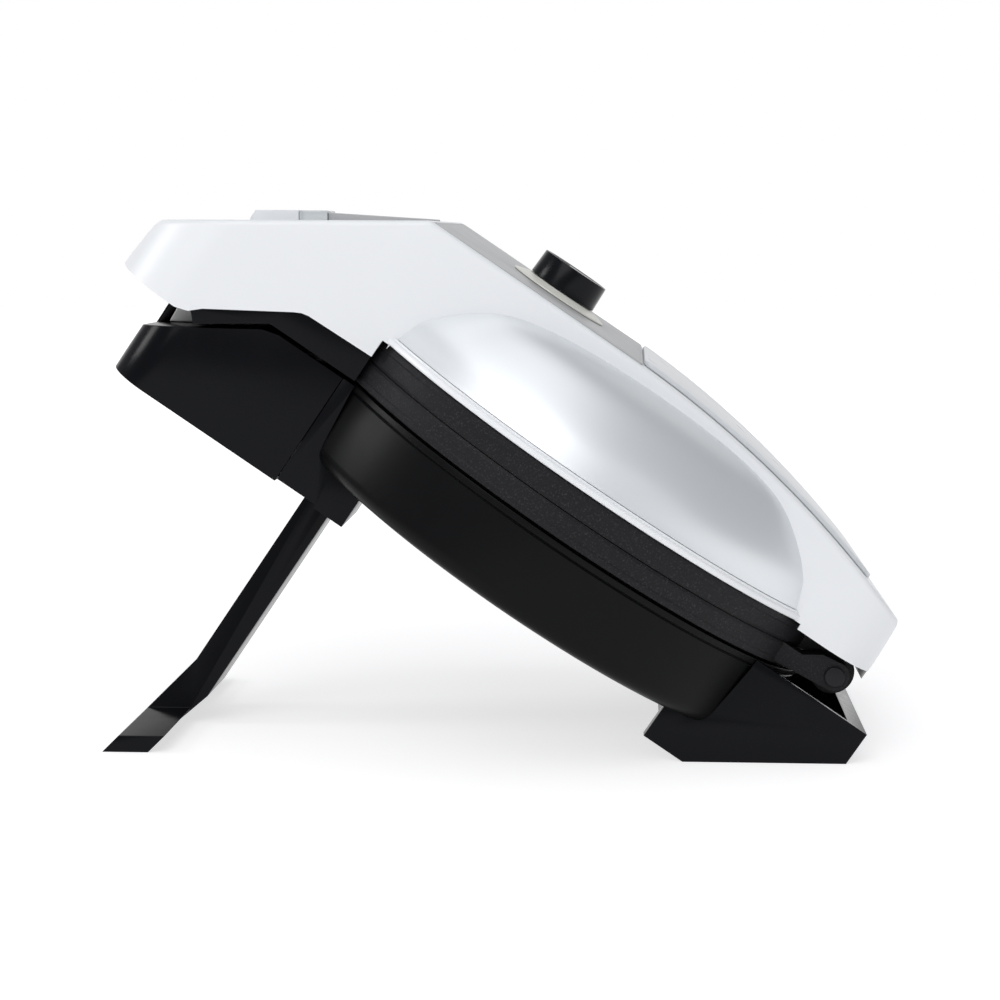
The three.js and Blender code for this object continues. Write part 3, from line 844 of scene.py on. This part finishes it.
# ---- Repeated small parts, made by geometry nodes ----
class Pattern:
    """A geometry node tree that sets copies of one small part at points, in the level frame."""

    def __init__(self, name: str, finish: Finish) -> None:
        """Starts the tree.

        Args:
            name: The tree's name.
            finish: What the copies are made of.
        """
        self.finish = finish
        self.tree = bpy.data.node_groups.new(name, "GeometryNodeTree")
        for way in ("INPUT", "OUTPUT"):
            self.tree.interface.new_socket("Geometry", in_out=way, socket_type="NodeSocketGeometry")
        self.entry = self.tree.nodes.new("NodeGroupInput")
        self.exit = self.tree.nodes.new("NodeGroupOutput")

    def size(self, name: str, value: float) -> str:
        """Adds a named size to the tree.

        Args:
            name: What the size is called.
            value: Its default.

        Returns:
            The socket's identifier.
        """
        socket = self.tree.interface.new_socket(name, in_out="INPUT", socket_type="NodeSocketFloat")
        socket.default_value = value
        return socket.identifier

    def node(self, kind: str, inputs: dict | None = None) -> bpy.types.Node:
        """Adds a geometry node.

        Args:
            kind: The node type's identifier.
            inputs: Plain values or output sockets for its inputs.

        Returns:
            The node.
        """
        return add_node(self.tree, kind, inputs=inputs)

    def close(self, part: bpy.types.NodeSocket) -> None:
        """Sets the part on every point and ends the tree.

        Args:
            part: The geometry of one copy.
        """
        points = self.entry.outputs["Geometry"]
        copies = self.node("GeometryNodeInstanceOnPoints", {"Points": points, "Instance": part})
        real = self.node("GeometryNodeRealizeInstances", {0: copies.outputs[0]})
        dressed = self.node(
            "GeometryNodeSetMaterial", {"Geometry": real.outputs[0], "Material": self.finish.material()})
        self.tree.links.new(dressed.outputs[0], self.exit.inputs[0])

    def run(self, places: Sequence[Point3], sizes: dict[str, float]) -> Solid:
        """Runs the tree on a set of points.

        Args:
            places: The points, in level millimetres.
            sizes: Values for the named sizes, by socket identifier.

        Returns:
            The copies as one plain mesh.
        """
        cloud = bpy.data.meshes.new("places")
        cloud.from_pydata(list(places), [], [])
        return Solid(cloud).applied("NODES", {"node_group": self.tree}, sizes)


# ---- Lid ----
@dataclass
class LidCover:
    """The long white band of the lid, from the handle's tip over the crest to the hinge."""

    half: float = 73.3
    tip_x: float = -193.4
    rear_x: float = 128.2
    front_radius: float = 30.0
    rear_radius: float = 25.0
    arc: Point3 = (-18.0, 113.8, 412.0)
    rear_top: float = 125.3
    edge: float = 2.4
    wall: float = 2.2
    panel: tuple[float, float, float, float] = (-101.8, -8.9, 70.9, 1.9)
    side_edge: tuple[Point2, ...] = (
        (-164.4, 34.7), (-159.4, 36.2), (-155.2, 40.0), (-126.5, 57.9), (-123.8, 59.3), (-121.0, 59.9),
        (-93.5, 60.5), (-93.4, 67.8), (-90.6, 67.8), (-90.5, 66.0))
    cap_end: float = 90.5
    cap_overlap: float = 3.2
    flange: Point2 = (93.4, 67.8)
    rear_edge: float = 65.6

    def arc_at(self, x: float) -> float:
        """Gives the height of the long arc over the sloping rear.

        Args:
            x: The place along the band.

        Returns:
            The height.
        """
        x0, z0, radius = self.arc
        return z0 - radius + math.sqrt(radius**2 - (x - x0) ** 2)

    def top_line(self) -> list[Point2]:
        """Gives the line over the top of the band, from the tip to the rear end."""
        x0, z0, _ = self.arc
        places = [x0 + (self.rear_top - 6.0 - x0) * i / 24 for i in range(25)]
        arc = [(x, self.arc_at(x)) for x in places]
        front = fillet([(self.tip_x, 34.7, 0), (self.tip_x + 4.1, 56.6, 7.0), (*CREST, 3.5), (x0, z0, 0)], 8)
        rear_corner = (self.rear_top, self.arc_at(self.rear_top), 4.0)
        back = fillet([arc[-1] + (0,), rear_corner, (self.rear_x, self.rear_edge, 0)], 6)
        return front[:-1] + arc[:-1] + back

    def width_at(self, x: float) -> float:
        """Gives half the width at a place along the band.

        Args:
            x: The place.

        Returns:
            The half width.
        """
        front = max(0.0, self.front_radius - (x - self.tip_x))
        rear = max(0.0, x - (self.rear_x - self.rear_radius))
        if front > 0.0:
            return self.half - self.front_radius + math.sqrt(max(0.0, self.front_radius**2 - front**2))
        return self.half - self.rear_radius + math.sqrt(max(0.0, self.rear_radius**2 - rear**2))

    def bottom_at(self, x: float) -> float:
        """Gives the lower edge of the band's side at a place along it.

        Args:
            x: The place.

        Returns:
            The height of the edge.
        """
        if x <= self.side_edge[-1][0]:
            return interpolate(self.side_edge, x)
        if x < self.cap_end:
            return SideCap().height_at(math.hypot(x, self.half)) - self.cap_overlap
        return self.flange[1] if x < self.flange[0] else self.rear_edge

    def stations(self) -> list[float]:
        """Gives the places along the band where its section is drawn."""
        places = {round(x, 3) for x, _ in self.top_line()}
        turns = [1 - math.cos(math.pi / 2 * i / 20) for i in range(21)]
        places |= {round(self.tip_x + self.front_radius * turn, 3) for turn in turns}
        places |= {round(self.rear_x - self.rear_radius * turn, 3) for turn in turns}
        places |= {x for x, _ in self.side_edge}
        places |= {90.4, self.cap_end, 93.35, self.flange[0]}
        places |= {edge + nudge for edge in self.panel[:2] for nudge in (-0.02, 0.02)}
        places |= {round(-90.0 + 3.0 * i, 3) for i in range(61)}
        return sorted(places)

    def section(self, x: float, top: float) -> list[Point3]:
        """Draws the outer skin's section at one place.

        Args:
            x: The place along the band.
            top: The height of the band there.

        Returns:
            Points from the right lower edge over the top to the left lower edge.
        """
        half, bottom = self.width_at(x), self.bottom_at(x)
        radius = min(self.edge, 0.48 * max(top - bottom, 0.02), 0.4 * half)
        front, rear, panel_half, depth = self.panel
        rim = min(panel_half, half - radius - 0.2)
        deck = top - (depth if front < x < rear else 0.0)
        side = [(half, min(bottom, top - 0.01)), (half, top - radius)]
        side += [(half - radius + radius * math.cos(a), top - radius + radius * math.sin(a))
                 for a in [math.pi / 2 * i / 6 for i in range(1, 7)]]
        side += [(rim, top), (rim - 0.01, deck), (rim * 0.5, deck)]
        right = [(x, -y, z) for y, z in side]
        return right + [(x, y, z) for y, z in side[::-1]]

    def build(self) -> None:
        """Lofts the band through its sections, gives it a wall and dresses it."""
        line = self.top_line()
        shape = bmesh.new()
        sections = [self.section(x, interpolate(line, x)) for x in self.stations()]
        rows = [[shape.verts.new(point) for point in section] for section in sections]
        for first, second in zip(rows, rows[1:]):
            for i in range(len(first) - 1):
                shape.faces.new((first[i], second[i], second[i + 1], first[i + 1]))
        bmesh.ops.remove_doubles(shape, verts=shape.verts, dist=0.004)
        bmesh.ops.dissolve_degenerate(shape, edges=shape.edges, dist=0.003)
        walled = {"thickness": self.wall, "offset": -1.0, "use_even_offset": True, "thickness_clamp": 0.4}
        band = Solid(shape).applied("SOLIDIFY", walled)
        band.finish("lid_band", WHITE, Body.LID, ["lid_cover"], sharp=30.0)


def interpolate(line: Sequence[Point2], x: float) -> float:
    """Reads a line's height at a place.

    Args:
        line: Points in rising order of x.
        x: The place.

    Returns:
        The height there.
    """
    for (x0, z0), (x1, z1) in zip(line, line[1:]):
        if x <= x1:
            return z0 if x <= x0 else z0 + (z1 - z0) * (x - x0) / (x1 - x0)
    return line[-1][1]


@dataclass
class SideCap:
    """The silver caps of the dome on both sides of the band, and the white trim round their foot."""

    line: tuple[Point2, ...] = ((115.2, 71.4), (111.6, 82.5), (103.8, 93.0), (95.4, 100.8), (85.1, 105.4),
                                (73.0, 108.1), (60.0, 109.6))
    thickness: float = 2.0
    band_half: float = 73.34

    def smooth_line(self, steps: int = 8) -> list[Point2]:
        """Gives the dome's outer line as a smooth curve through its points."""
        points = [Vector(point) for point in self.line]
        ends = [2 * points[0] - points[1], *points, 2 * points[-1] - points[-2]]
        curve: list[Point2] = []
        for i in range(1, len(ends) - 2):
            a, b, c, d = ends[i - 1:i + 3]
            for step in range(steps):
                t = step / steps
                bend = (2 * a - 5 * b + 4 * c - d) * t**2
                twist = (3 * b - a - 3 * c + d) * t**3
                point = 0.5 * (2 * b + (c - a) * t + bend + twist)
                curve.append((point.x, point.y))
        return [*curve, self.line[-1]]

    def height_at(self, radius: float) -> float:
        """Gives the dome's height at a distance from its axis.

        Args:
            radius: The distance.

        Returns:
            The height of the outer surface.
        """
        return interpolate(self.smooth_line()[::-1], radius)

    def shell(self) -> Solid:
        """Makes the whole dome with its wall."""
        outer = self.smooth_line()
        inner: list[Point2] = []
        for i, (radius, height) in enumerate(outer):
            before, after = outer[max(0, i - 1)], outer[min(len(outer) - 1, i + 1)]
            along = (Vector(after) - Vector(before)).normalized()
            inner.append((radius - along.y * self.thickness, height + along.x * self.thickness))
        inner[0] = (self.line[0][0] - self.thickness, self.line[0][1])
        return Solid.turned([*outer, *inner[::-1], outer[0]], 288)

    def trim(self) -> Solid:
        """Makes the trim ring: a rounded flange with a fine step above it."""
        profile = [(108.0, 67.9, 0), (116.6, 67.9, 0.4), (117.3, 68.3, 0.3), (117.3, 70.0, 0.6),
                   (116.2, 70.5, 0.2), (116.2, 71.2, 0.15), (108.0, 71.2, 0)]
        line = fillet(profile, 3)
        return Solid.turned([*line, line[0]], 288)

    def build(self) -> None:
        """Cuts the caps and the trims at the band and dresses them."""
        shell, trim = self.shell(), self.trim()
        for side, word in ((-1, "right"), (1, "left")):
            cap, edging = (whole.sliced(self.band_half, side) for whole in (shell, trim))
            cap.finish(f"dome_{word}", SILVER, Body.LID, [f"dome_cap_{word}"], sharp=30.0)
            edging.finish(f"trim_{word}", WHITE, Body.LID, [f"rim_trim_{word}"], sharp=30.0)


@dataclass
class LidTop:
    """What lies on top of the lid: the control panel, the curved plate, the bezel and the knob."""

    knob_x: float = -49.8
    bezel_z: float = 114.6
    knob_z: float = 117.2
    cover: LidCover = field(default_factory=LidCover)

    def panel(self) -> None:
        """Builds the flat grey control panel in its recess."""
        outline = plan(-101.4, -9.3, 70.5, 2.0, 1.0, 5)
        hole = Solid.turned([(0, 100), (6, 100), (6, 130), (0, 130)], 48).moved(self.knob_x)
        plate = Solid.upright(outline, 112.6, 114.35).minus(hole)
        plate.bevelled(0.35).finish("panel_plate", PANEL_GREY, Body.LID, ["control_panel"])

    def curved_plate(self) -> None:
        """Builds the raised plate that follows the top of the lid down to the hinge."""
        front, rear, half, gap, thickness = -8.6, 108.0, 60, 0.15, 1.75
        places = [front + (rear - front) * i / 30 for i in range(31)]
        low = [(x, self.cover.arc_at(x) + gap) for x in places]
        high = [(x, z + thickness) for x, z in low]
        rounded = Solid.upright(plan(front, rear, half, 4, 12), 50, 130)
        body = Solid.across(low + high[::-1], -half, half).common(rounded)
        body.bevelled(0.6, angle=50).finish("curved_plate", PALE, Body.LID, ["top_plate"])

    def bezel(self) -> None:
        """Builds the conical skirt round the knob."""
        z = self.bezel_z
        profile = [(5, z, 0), (21, z, 0), (21, z + 0.55, 0.3), (15.6, z + 2.15, 0.5), (15.0, z + 2.3, 0.2),
                   (5, z + 2.3, 0)]
        line = fillet(profile, 4)
        ring = Solid.turned([*line, line[0]], 160).moved(self.knob_x)
        ring.finish("bezel_ring", WARM_GREY, Body.LID, ["knob_bezel"])

    def knob(self) -> None:
        """Builds the knob: a plain turned cap with a shallow dished top and a pointer rib."""
        z = self.knob_z + 0.05
        profile = [(0, z, 0), (14.6, z, 0.2), (14.2, z + 10.0, 0.4), (13.4, z + 10.1, 0.2),
                   (12.6, z + 9.8, 0.4), (0, z + 9.7, 0)]
        body = Solid.turned(fillet(profile, 4), 160)
        side = [(-12.0, z + 9.0), (-3.0, z + 9.0), (-3.0, z + 10.0), (-12.0, z + 10.0)]
        rib = Solid.across(side, -0.8, 0.8).bevelled(0.3)
        socket = Solid.turned([(0, z - 1), (3.3, z - 1), (3.3, z + 7), (0, z + 7)], 40)
        cap = body.minus(socket).plus(rib).moved(self.knob_x)
        cap.finish("knob_cap", KNOB_BLACK, Body.KNOB, ["knob"])

    def build(self) -> None:
        """Builds everything on top of the lid."""
        self.panel()
        self.curved_plate()
        self.bezel()
        self.knob()


@dataclass
class LampPod:
    """The lamp pod, its lens and the low ramp behind them on the sloping top of the handle."""

    start: Point2 = (-189.3, 56.6)
    height: float = 4.2
    half: float = 12.0

    def tipped(self, solid: Solid) -> Solid:
        """Tips a solid that was drawn flat onto the sloping top.

        Args:
            solid: The flat solid.

        Returns:
            The same solid, tipped.
        """
        angle = math.atan2(CREST[1] - self.start[1], CREST[0] - self.start[0])
        place = Matrix.Translation((self.start[0], 0, self.start[1])) @ Matrix.Rotation(-angle, 4, "Y")
        solid.mesh.transform(place)
        return solid

    def build(self) -> None:
        """Builds the pod, the lens and the ramp."""
        foot, top, half = 0.1, self.height, self.half
        pod = Solid.across([(25, foot), (45.9, foot), (45.9, top), (28.4, top)], -half, half)
        pod = pod.common(Solid.upright(plan(25, 66, half, 9, 2), -1, 10)).bevelled(0.9, angle=40)
        self.tipped(pod).finish("lamp_pod", WHITE, Body.LID, ["indicator_pod"])
        side = [(46.1, foot), (57.3, foot), (57.3, top - 0.1), (46.1, top - 0.1)]
        lens = Solid.across(side, -half + 0.2, half - 0.2).bevelled(0.5)
        self.tipped(lens).finish("lamp_lens_block", LENS, Body.LID, ["indicator_lens"])
        side = [(57.5, foot), (100, foot), (100, 0.8), (57.5, 3.3)]
        ramp = Solid.across(side, -half + 1.5, half - 1.5).bevelled(0.35)
        self.tipped(ramp).finish("handle_ramp_plate", PANEL_GREY, Body.LID, ["handle_ramp"])


# ---- Plates and hinge ----
@dataclass
class BakingPlate:
    """One of the two coated plates, with half of each donut ring sunk into it."""

    seam: float = 58.2
    radius: float = 114.8
    body_radius: float = 106.0
    ring: tuple[float, float] = (19.5, 10.5)
    pitch: float = 69.0

    def rings(self) -> list[Solid]:
        """Gives the seven rings that are cut from both plates."""
        angles = [(i + 0.5) * math.pi / 3 for i in range(6)]
        places = [(0.0, 0.0)] + [(self.pitch * math.cos(a), self.pitch * math.sin(a)) for a in angles]
        return [Solid.ring(x, y, self.seam, *self.ring) for x, y in places]

    def blank(self, towards: int) -> Solid:
        """Makes a plate without its rings.

        Args:
            towards: 1 for the upper plate, -1 for the lower one.

        Returns:
            The blank.
        """
        face, edge, back = (self.seam + towards * d for d in (0.15, 9.3, 14.8))
        step = self.seam + towards * 6.4
        rim, inner = self.radius, self.body_radius
        corners = [(0, face, 0), (rim - 0.9, face, 0), (rim - 0.3, face + towards * 1.1, 0.5),
                   (rim - 0.3, step, 0.3), (rim, step + towards * 0.5, 0.3), (rim, edge, 0.9), (inner, edge, 0),
                   (inner - 2, back, 0), (0, back, 0)]
        return Solid.turned(fillet(corners, 3), 288)

    def arms(self, towards: int, spans: tuple[float, float], knuckle: float) -> list[Solid]:
        """Makes the hinge arms of a plate.

        Args:
            towards: 1 for the upper plate, -1 for the lower one.
            spans: The inner and the outer side of an arm.
            knuckle: The radius of its knuckle.

        Returns:
            The arms, left and right.
        """
        x, z = HINGE
        root, under, over = 86, self.seam - 0.2, self.seam + 0.4
        ends = [(x, z - knuckle), (x, z + knuckle)]
        if towards > 0:
            outline = [(root, over), (106.6, over), (110.5, z - 6.0), *ends, (root, 66.6)]
        else:
            outline = [(root, 49.4), *ends, (108.0, z + 4.4), (101.6, under), (root, under)]
        arms = []
        for low, high in (spans, (-spans[1], -spans[0])):
            bar = Solid.across(outline, low, high).plus(Solid.axle(x, z, knuckle, low, high))
            arms.append(bar.bevelled(0.5, angle=25, segments=2))
        return arms

    def build(self, towards: int) -> None:
        """Builds a plate with its rings and arms.

        Args:
            towards: 1 for the upper plate, -1 for the lower one.
        """
        spans, knuckle = ((45.5, 55.6), 8.4) if towards > 0 else ((56.0, 66.0), 5.6)
        plate = self.blank(towards).minus(*self.rings()).plus(*self.arms(towards, spans, knuckle))
        bore = Solid.axle(*HINGE, 3.5, -80, 80)
        name, body = ("upper_plate", Body.LID) if towards > 0 else ("lower_plate", Body.BASE)
        plate.minus(bore).finish(f"{name}_coated", COATED, body, [name], sharp=30.0)

    def pins(self) -> None:
        """Builds the hinge pins with their flat heads."""
        for side, word in ((-1, "right"), (1, "left")):
            shank = Solid.axle(*HINGE, 3.2, *sorted((side * 44.6, side * 66.4)), 0.3)
            head = Solid.axle(*HINGE, 3.8, *sorted((side * 66.3, side * 67.4)), 0.35)
            shank.plus(head).finish(f"pin_{word}", BLACK_STEEL, Body.BASE, [f"hinge_pin_{word}"])


# ---- Base ----
@dataclass
class BaseBowl:
    """The round black bowl under the lower plate."""

    rim: float = 113.5
    foot: float = 112.0
    floor: float = 15.0
    top: float = 47.7
    wall: float = 2.4

    def build(self) -> None:
        """Turns the bowl and opens the bay that the stand folds into."""
        rim, foot, floor, top, wall = self.rim, self.foot, self.floor, self.top, self.wall
        corners = [(0, floor, 0), (foot, floor, 6.5), (rim - 0.75, top - 3.4, 0.1),
                   (rim - 1.1, top - 3.0, 0.1), (rim - 0.55, top - 2.6, 0.1), (rim, top - 2.2, 0.2),
                   (rim, top, 0.3), (rim - wall, top, 0.2), (foot - wall, floor + wall, 4.5),
                   (0, floor + wall, 0)]
        bowl = Solid.turned(fillet(corners, 6), 288)
        stem, bar = (
            Solid.upright([(x0, -half), (x1, -half), (x1, half), (x0, half)], floor - 1, floor + 4)
            for x0, x1, half in ((-91.3, 57, 21.3), (29.7, 57.3, 73.3)))
        bowl.minus(stem, bar).finish("bowl", BLACK_SATIN, Body.BASE, ["base_bowl"], sharp=30.0)


@dataclass
class Mouldings:
    """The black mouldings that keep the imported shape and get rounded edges."""

    rounding: dict[str, float] = field(default_factory=lambda: {
        "base_handle": 1.0, "front_bracket": 0.9, "rear_block": 1.1, "stand_leg": 0.7, "stand_bay_liner": 0.4,
        "base_handle_cover": 0.4, "lid_inner_housing": 0.6, "lid_rear_liner": 0.4, "latch_lever": 0.4,
        "latch_keeper": 0.5,
    })
    bodies: dict[str, Body] = field(default_factory=lambda: {
        "stand_leg": Body.STAND, "lid_inner_housing": Body.LID, "lid_rear_liner": Body.LID,
        "latch_lever": Body.LATCH,
    })

    def build(self) -> None:
        """Copies each node, rounds its edges and dresses it."""
        for node, width in self.rounding.items():
            # The latch keeper gets its pale grey with painted light; every other moulding is black.
            finish = KEEPER_GREY_WITH_PAINTED_LIGHT if node == "latch_keeper" else BLACK
            solid = Solid.from_node(node).bevelled(width, angle=28.0, segments=3)
            solid.finish(f"{node}_moulding", finish, self.bodies.get(node, Body.BASE), [node], sharp=35.0)


@dataclass
class Fasteners:
    """The four screws of the underside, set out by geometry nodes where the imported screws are."""

    nodes: tuple[str, ...] = tuple(f"bottom_screw_{i}" for i in range(1, 5))
    head_height: float = 1.6
    shank_share: float = 0.5
    clearance: float = 0.05

    @staticmethod
    def extent(node: str) -> tuple[Vector, Vector]:
        """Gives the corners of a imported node's box in the level frame.

        Args:
            node: The name of the node.

        Returns:
            The lowest and the highest corner.
        """
        points = [LEVEL.inverted() @ vertex.co for vertex in bpy.data.objects[node].data.vertices]
        low, high = (Vector([pick(axis) for axis in zip(*points)]) for pick in (min, max))
        return low, high

    def build(self) -> None:
        """Builds all four screws as one piece on the base."""
        boxes = [self.extent(node) for node in self.nodes]
        places = [((low.x + high.x) / 2, (low.y + high.y) / 2, low.z) for low, high in boxes]
        low, high = boxes[0]
        pattern = Pattern("screws", STEEL)
        radius = pattern.size("Head Radius", 3.0)
        shank = pattern.size("Shank Radius", 1.5)
        wide, narrow = (pattern.entry.outputs[name] for name in ("Head Radius", "Shank Radius"))
        head = pattern.node("GeometryNodeMeshCone", {
            "Vertices": 40, "Side Segments": 2, "Radius Top": wide, "Radius Bottom": narrow,
            "Depth": self.head_height})
        length = high.z - low.z - self.head_height - 2 * self.clearance
        stem = pattern.node("GeometryNodeMeshCylinder", {"Vertices": 28, "Radius": narrow, "Depth": length})
        lift = (0.0, 0.0, self.head_height + self.clearance + length / 2)
        raised = pattern.node("GeometryNodeTransform", {"Geometry": stem.outputs[0], "Translation": lift})
        screw = pattern.node("GeometryNodeJoinGeometry")
        for part in (head, raised):
            pattern.tree.links.new(part.outputs[0], screw.inputs[0])
        pattern.close(screw.outputs[0])
        head_radius = (high.x - low.x) / 2
        screws = pattern.run(places, {radius: head_radius, shank: head_radius * self.shank_share})
        screws.finish("underside_screws", STEEL, Body.BASE, self.nodes)


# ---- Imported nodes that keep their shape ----
KEPT: dict[Finish, tuple[str, ...]] = {
    STEEL: ("knob_shaft", "upper_heat_shield", "latch_pin", "latch_spring", "lower_heat_shield",
            "stand_pivot_pin"),
    DARK_STEEL: ("upper_heating_element", "lower_heating_element"),
    PHENOLIC: ("thermostat_control", "upper_thermostat", "lower_thermostat", "terminal_block"),
    BOARD: ("indicator_board",),
    LENS: ("power_lamp", "ready_lamp"),
    RUBBER: ("cord_gland", "front_foot_pad_right", "front_foot_pad_left", "rear_foot_pad_right",
             "rear_foot_pad_left"),
}


def dress_kept_nodes() -> None:
    """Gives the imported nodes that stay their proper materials."""
    for finish, nodes in KEPT.items():
        for node in nodes:
            for slot in bpy.data.objects[node].material_slots:
                slot.material = finish.material()
            LOG.info("%s: kept, %s", node, finish.name)


# ---- Studio ----
@dataclass
class Studio:
    """Floor, soft lights and the camera."""

    camera_place: Point3 = (0.0531, -0.88905, 0.1469)
    camera_forward: Point3 = (-0.0598, 0.9912, -0.1183)
    lens: float = 80.0
    aim: Point3 = (0.0, 0.0, 0.1)
    lamps: tuple[tuple[str, Point3, float, float], ...] = (
        ("key", (-0.35, -1.5, 1.35), 1.5, 14.0),
        ("overhead", (0.0, -0.35, 1.9), 1.6, 8.0),
        ("fill", (1.2, -1.3, 0.8), 1.0, 1.2),
        ("edge", (-1.35, -0.12, 0.85), 0.42, 3.8),
    )

    def camera(self) -> None:
        """Sets the camera up."""
        data = bpy.data.cameras.new("camera")
        data.lens, data.sensor_width = self.lens, 36.0
        data.clip_start, data.clip_end = 0.02, 50.0
        camera = in_scene("camera", data)
        camera.location = LEVEL.translation + Vector(self.camera_place)
        camera.rotation_euler = Vector(self.camera_forward).to_track_quat("-Z", "Y").to_euler()
        bpy.context.scene.camera = camera

    def floor(self) -> None:
        """Lays the plain pale floor."""
        shape = bmesh.new()
        bmesh.ops.create_grid(shape, x_segments=8, y_segments=8, size=5.0)
        mesh = bpy.data.meshes.new("floor")
        shape.to_mesh(mesh)
        shape.free()
        mesh.materials.append(PAPER.material())
        in_scene("floor", mesh)

    def lamp(self, name: str, place: Point3, size: float, watts: float) -> None:
        """Hangs one soft square light that faces the object.

        Args:
            name: What the light is called.
            place: Where it hangs.
            size: The length of its side.
            watts: Its power.
        """
        data = bpy.data.lights.new(name, "AREA")
        data.shape, data.size, data.energy = "SQUARE", size, watts
        lamp = in_scene(name, data)
        lamp.location = place
        lamp.rotation_euler = (Vector(self.aim) - Vector(place)).to_track_quat("-Z", "Y").to_euler()

    def sky(self) -> None:
        """Makes the room: white behind the object and dim behind the camera."""
        world = bpy.data.worlds.new("room")
        bpy.context.scene.world = world
        tree = NodeTree(world)
        direction = tree.node("ShaderNodeTexCoord", output="Generated")
        forward = tree.node("ShaderNodeSeparateXYZ", inputs={0: direction}, output="Y")
        stops = ((0.80, (0.34, 0.345, 0.36, 1)), (0.93, (1.0, 1.0, 1.0, 1)))
        colour = tree.node("ShaderNodeValToRGB", {"stops": stops}, {"Fac": forward * 0.5 + 0.5})
        room = tree.node("ShaderNodeBackground", inputs={"Color": colour, "Strength": 1.0})
        add_node(tree.tree, "ShaderNodeOutputWorld", inputs={"Surface": room})

    def build(self) -> None:
        """Sets the whole studio up."""
        self.camera()
        self.floor()
        self.sky()
        for lamp in self.lamps:
            self.lamp(*lamp)
        bpy.context.scene.view_settings.view_transform = "Standard"


def main() -> None:
    """Builds every piece in order, then the studio."""
    steps: list[Callable[[], object]] = [
        LidCover().build, SideCap().build, LidTop().build, LampPod().build,
        lambda: BakingPlate().build(1), lambda: BakingPlate().build(-1), BakingPlate().pins,
        BaseBowl().build, Mouldings().build, Fasteners().build, dress_kept_nodes, Studio().build,
    ]
    for step in steps:
        step()


if __name__ == "__main__":
    main()
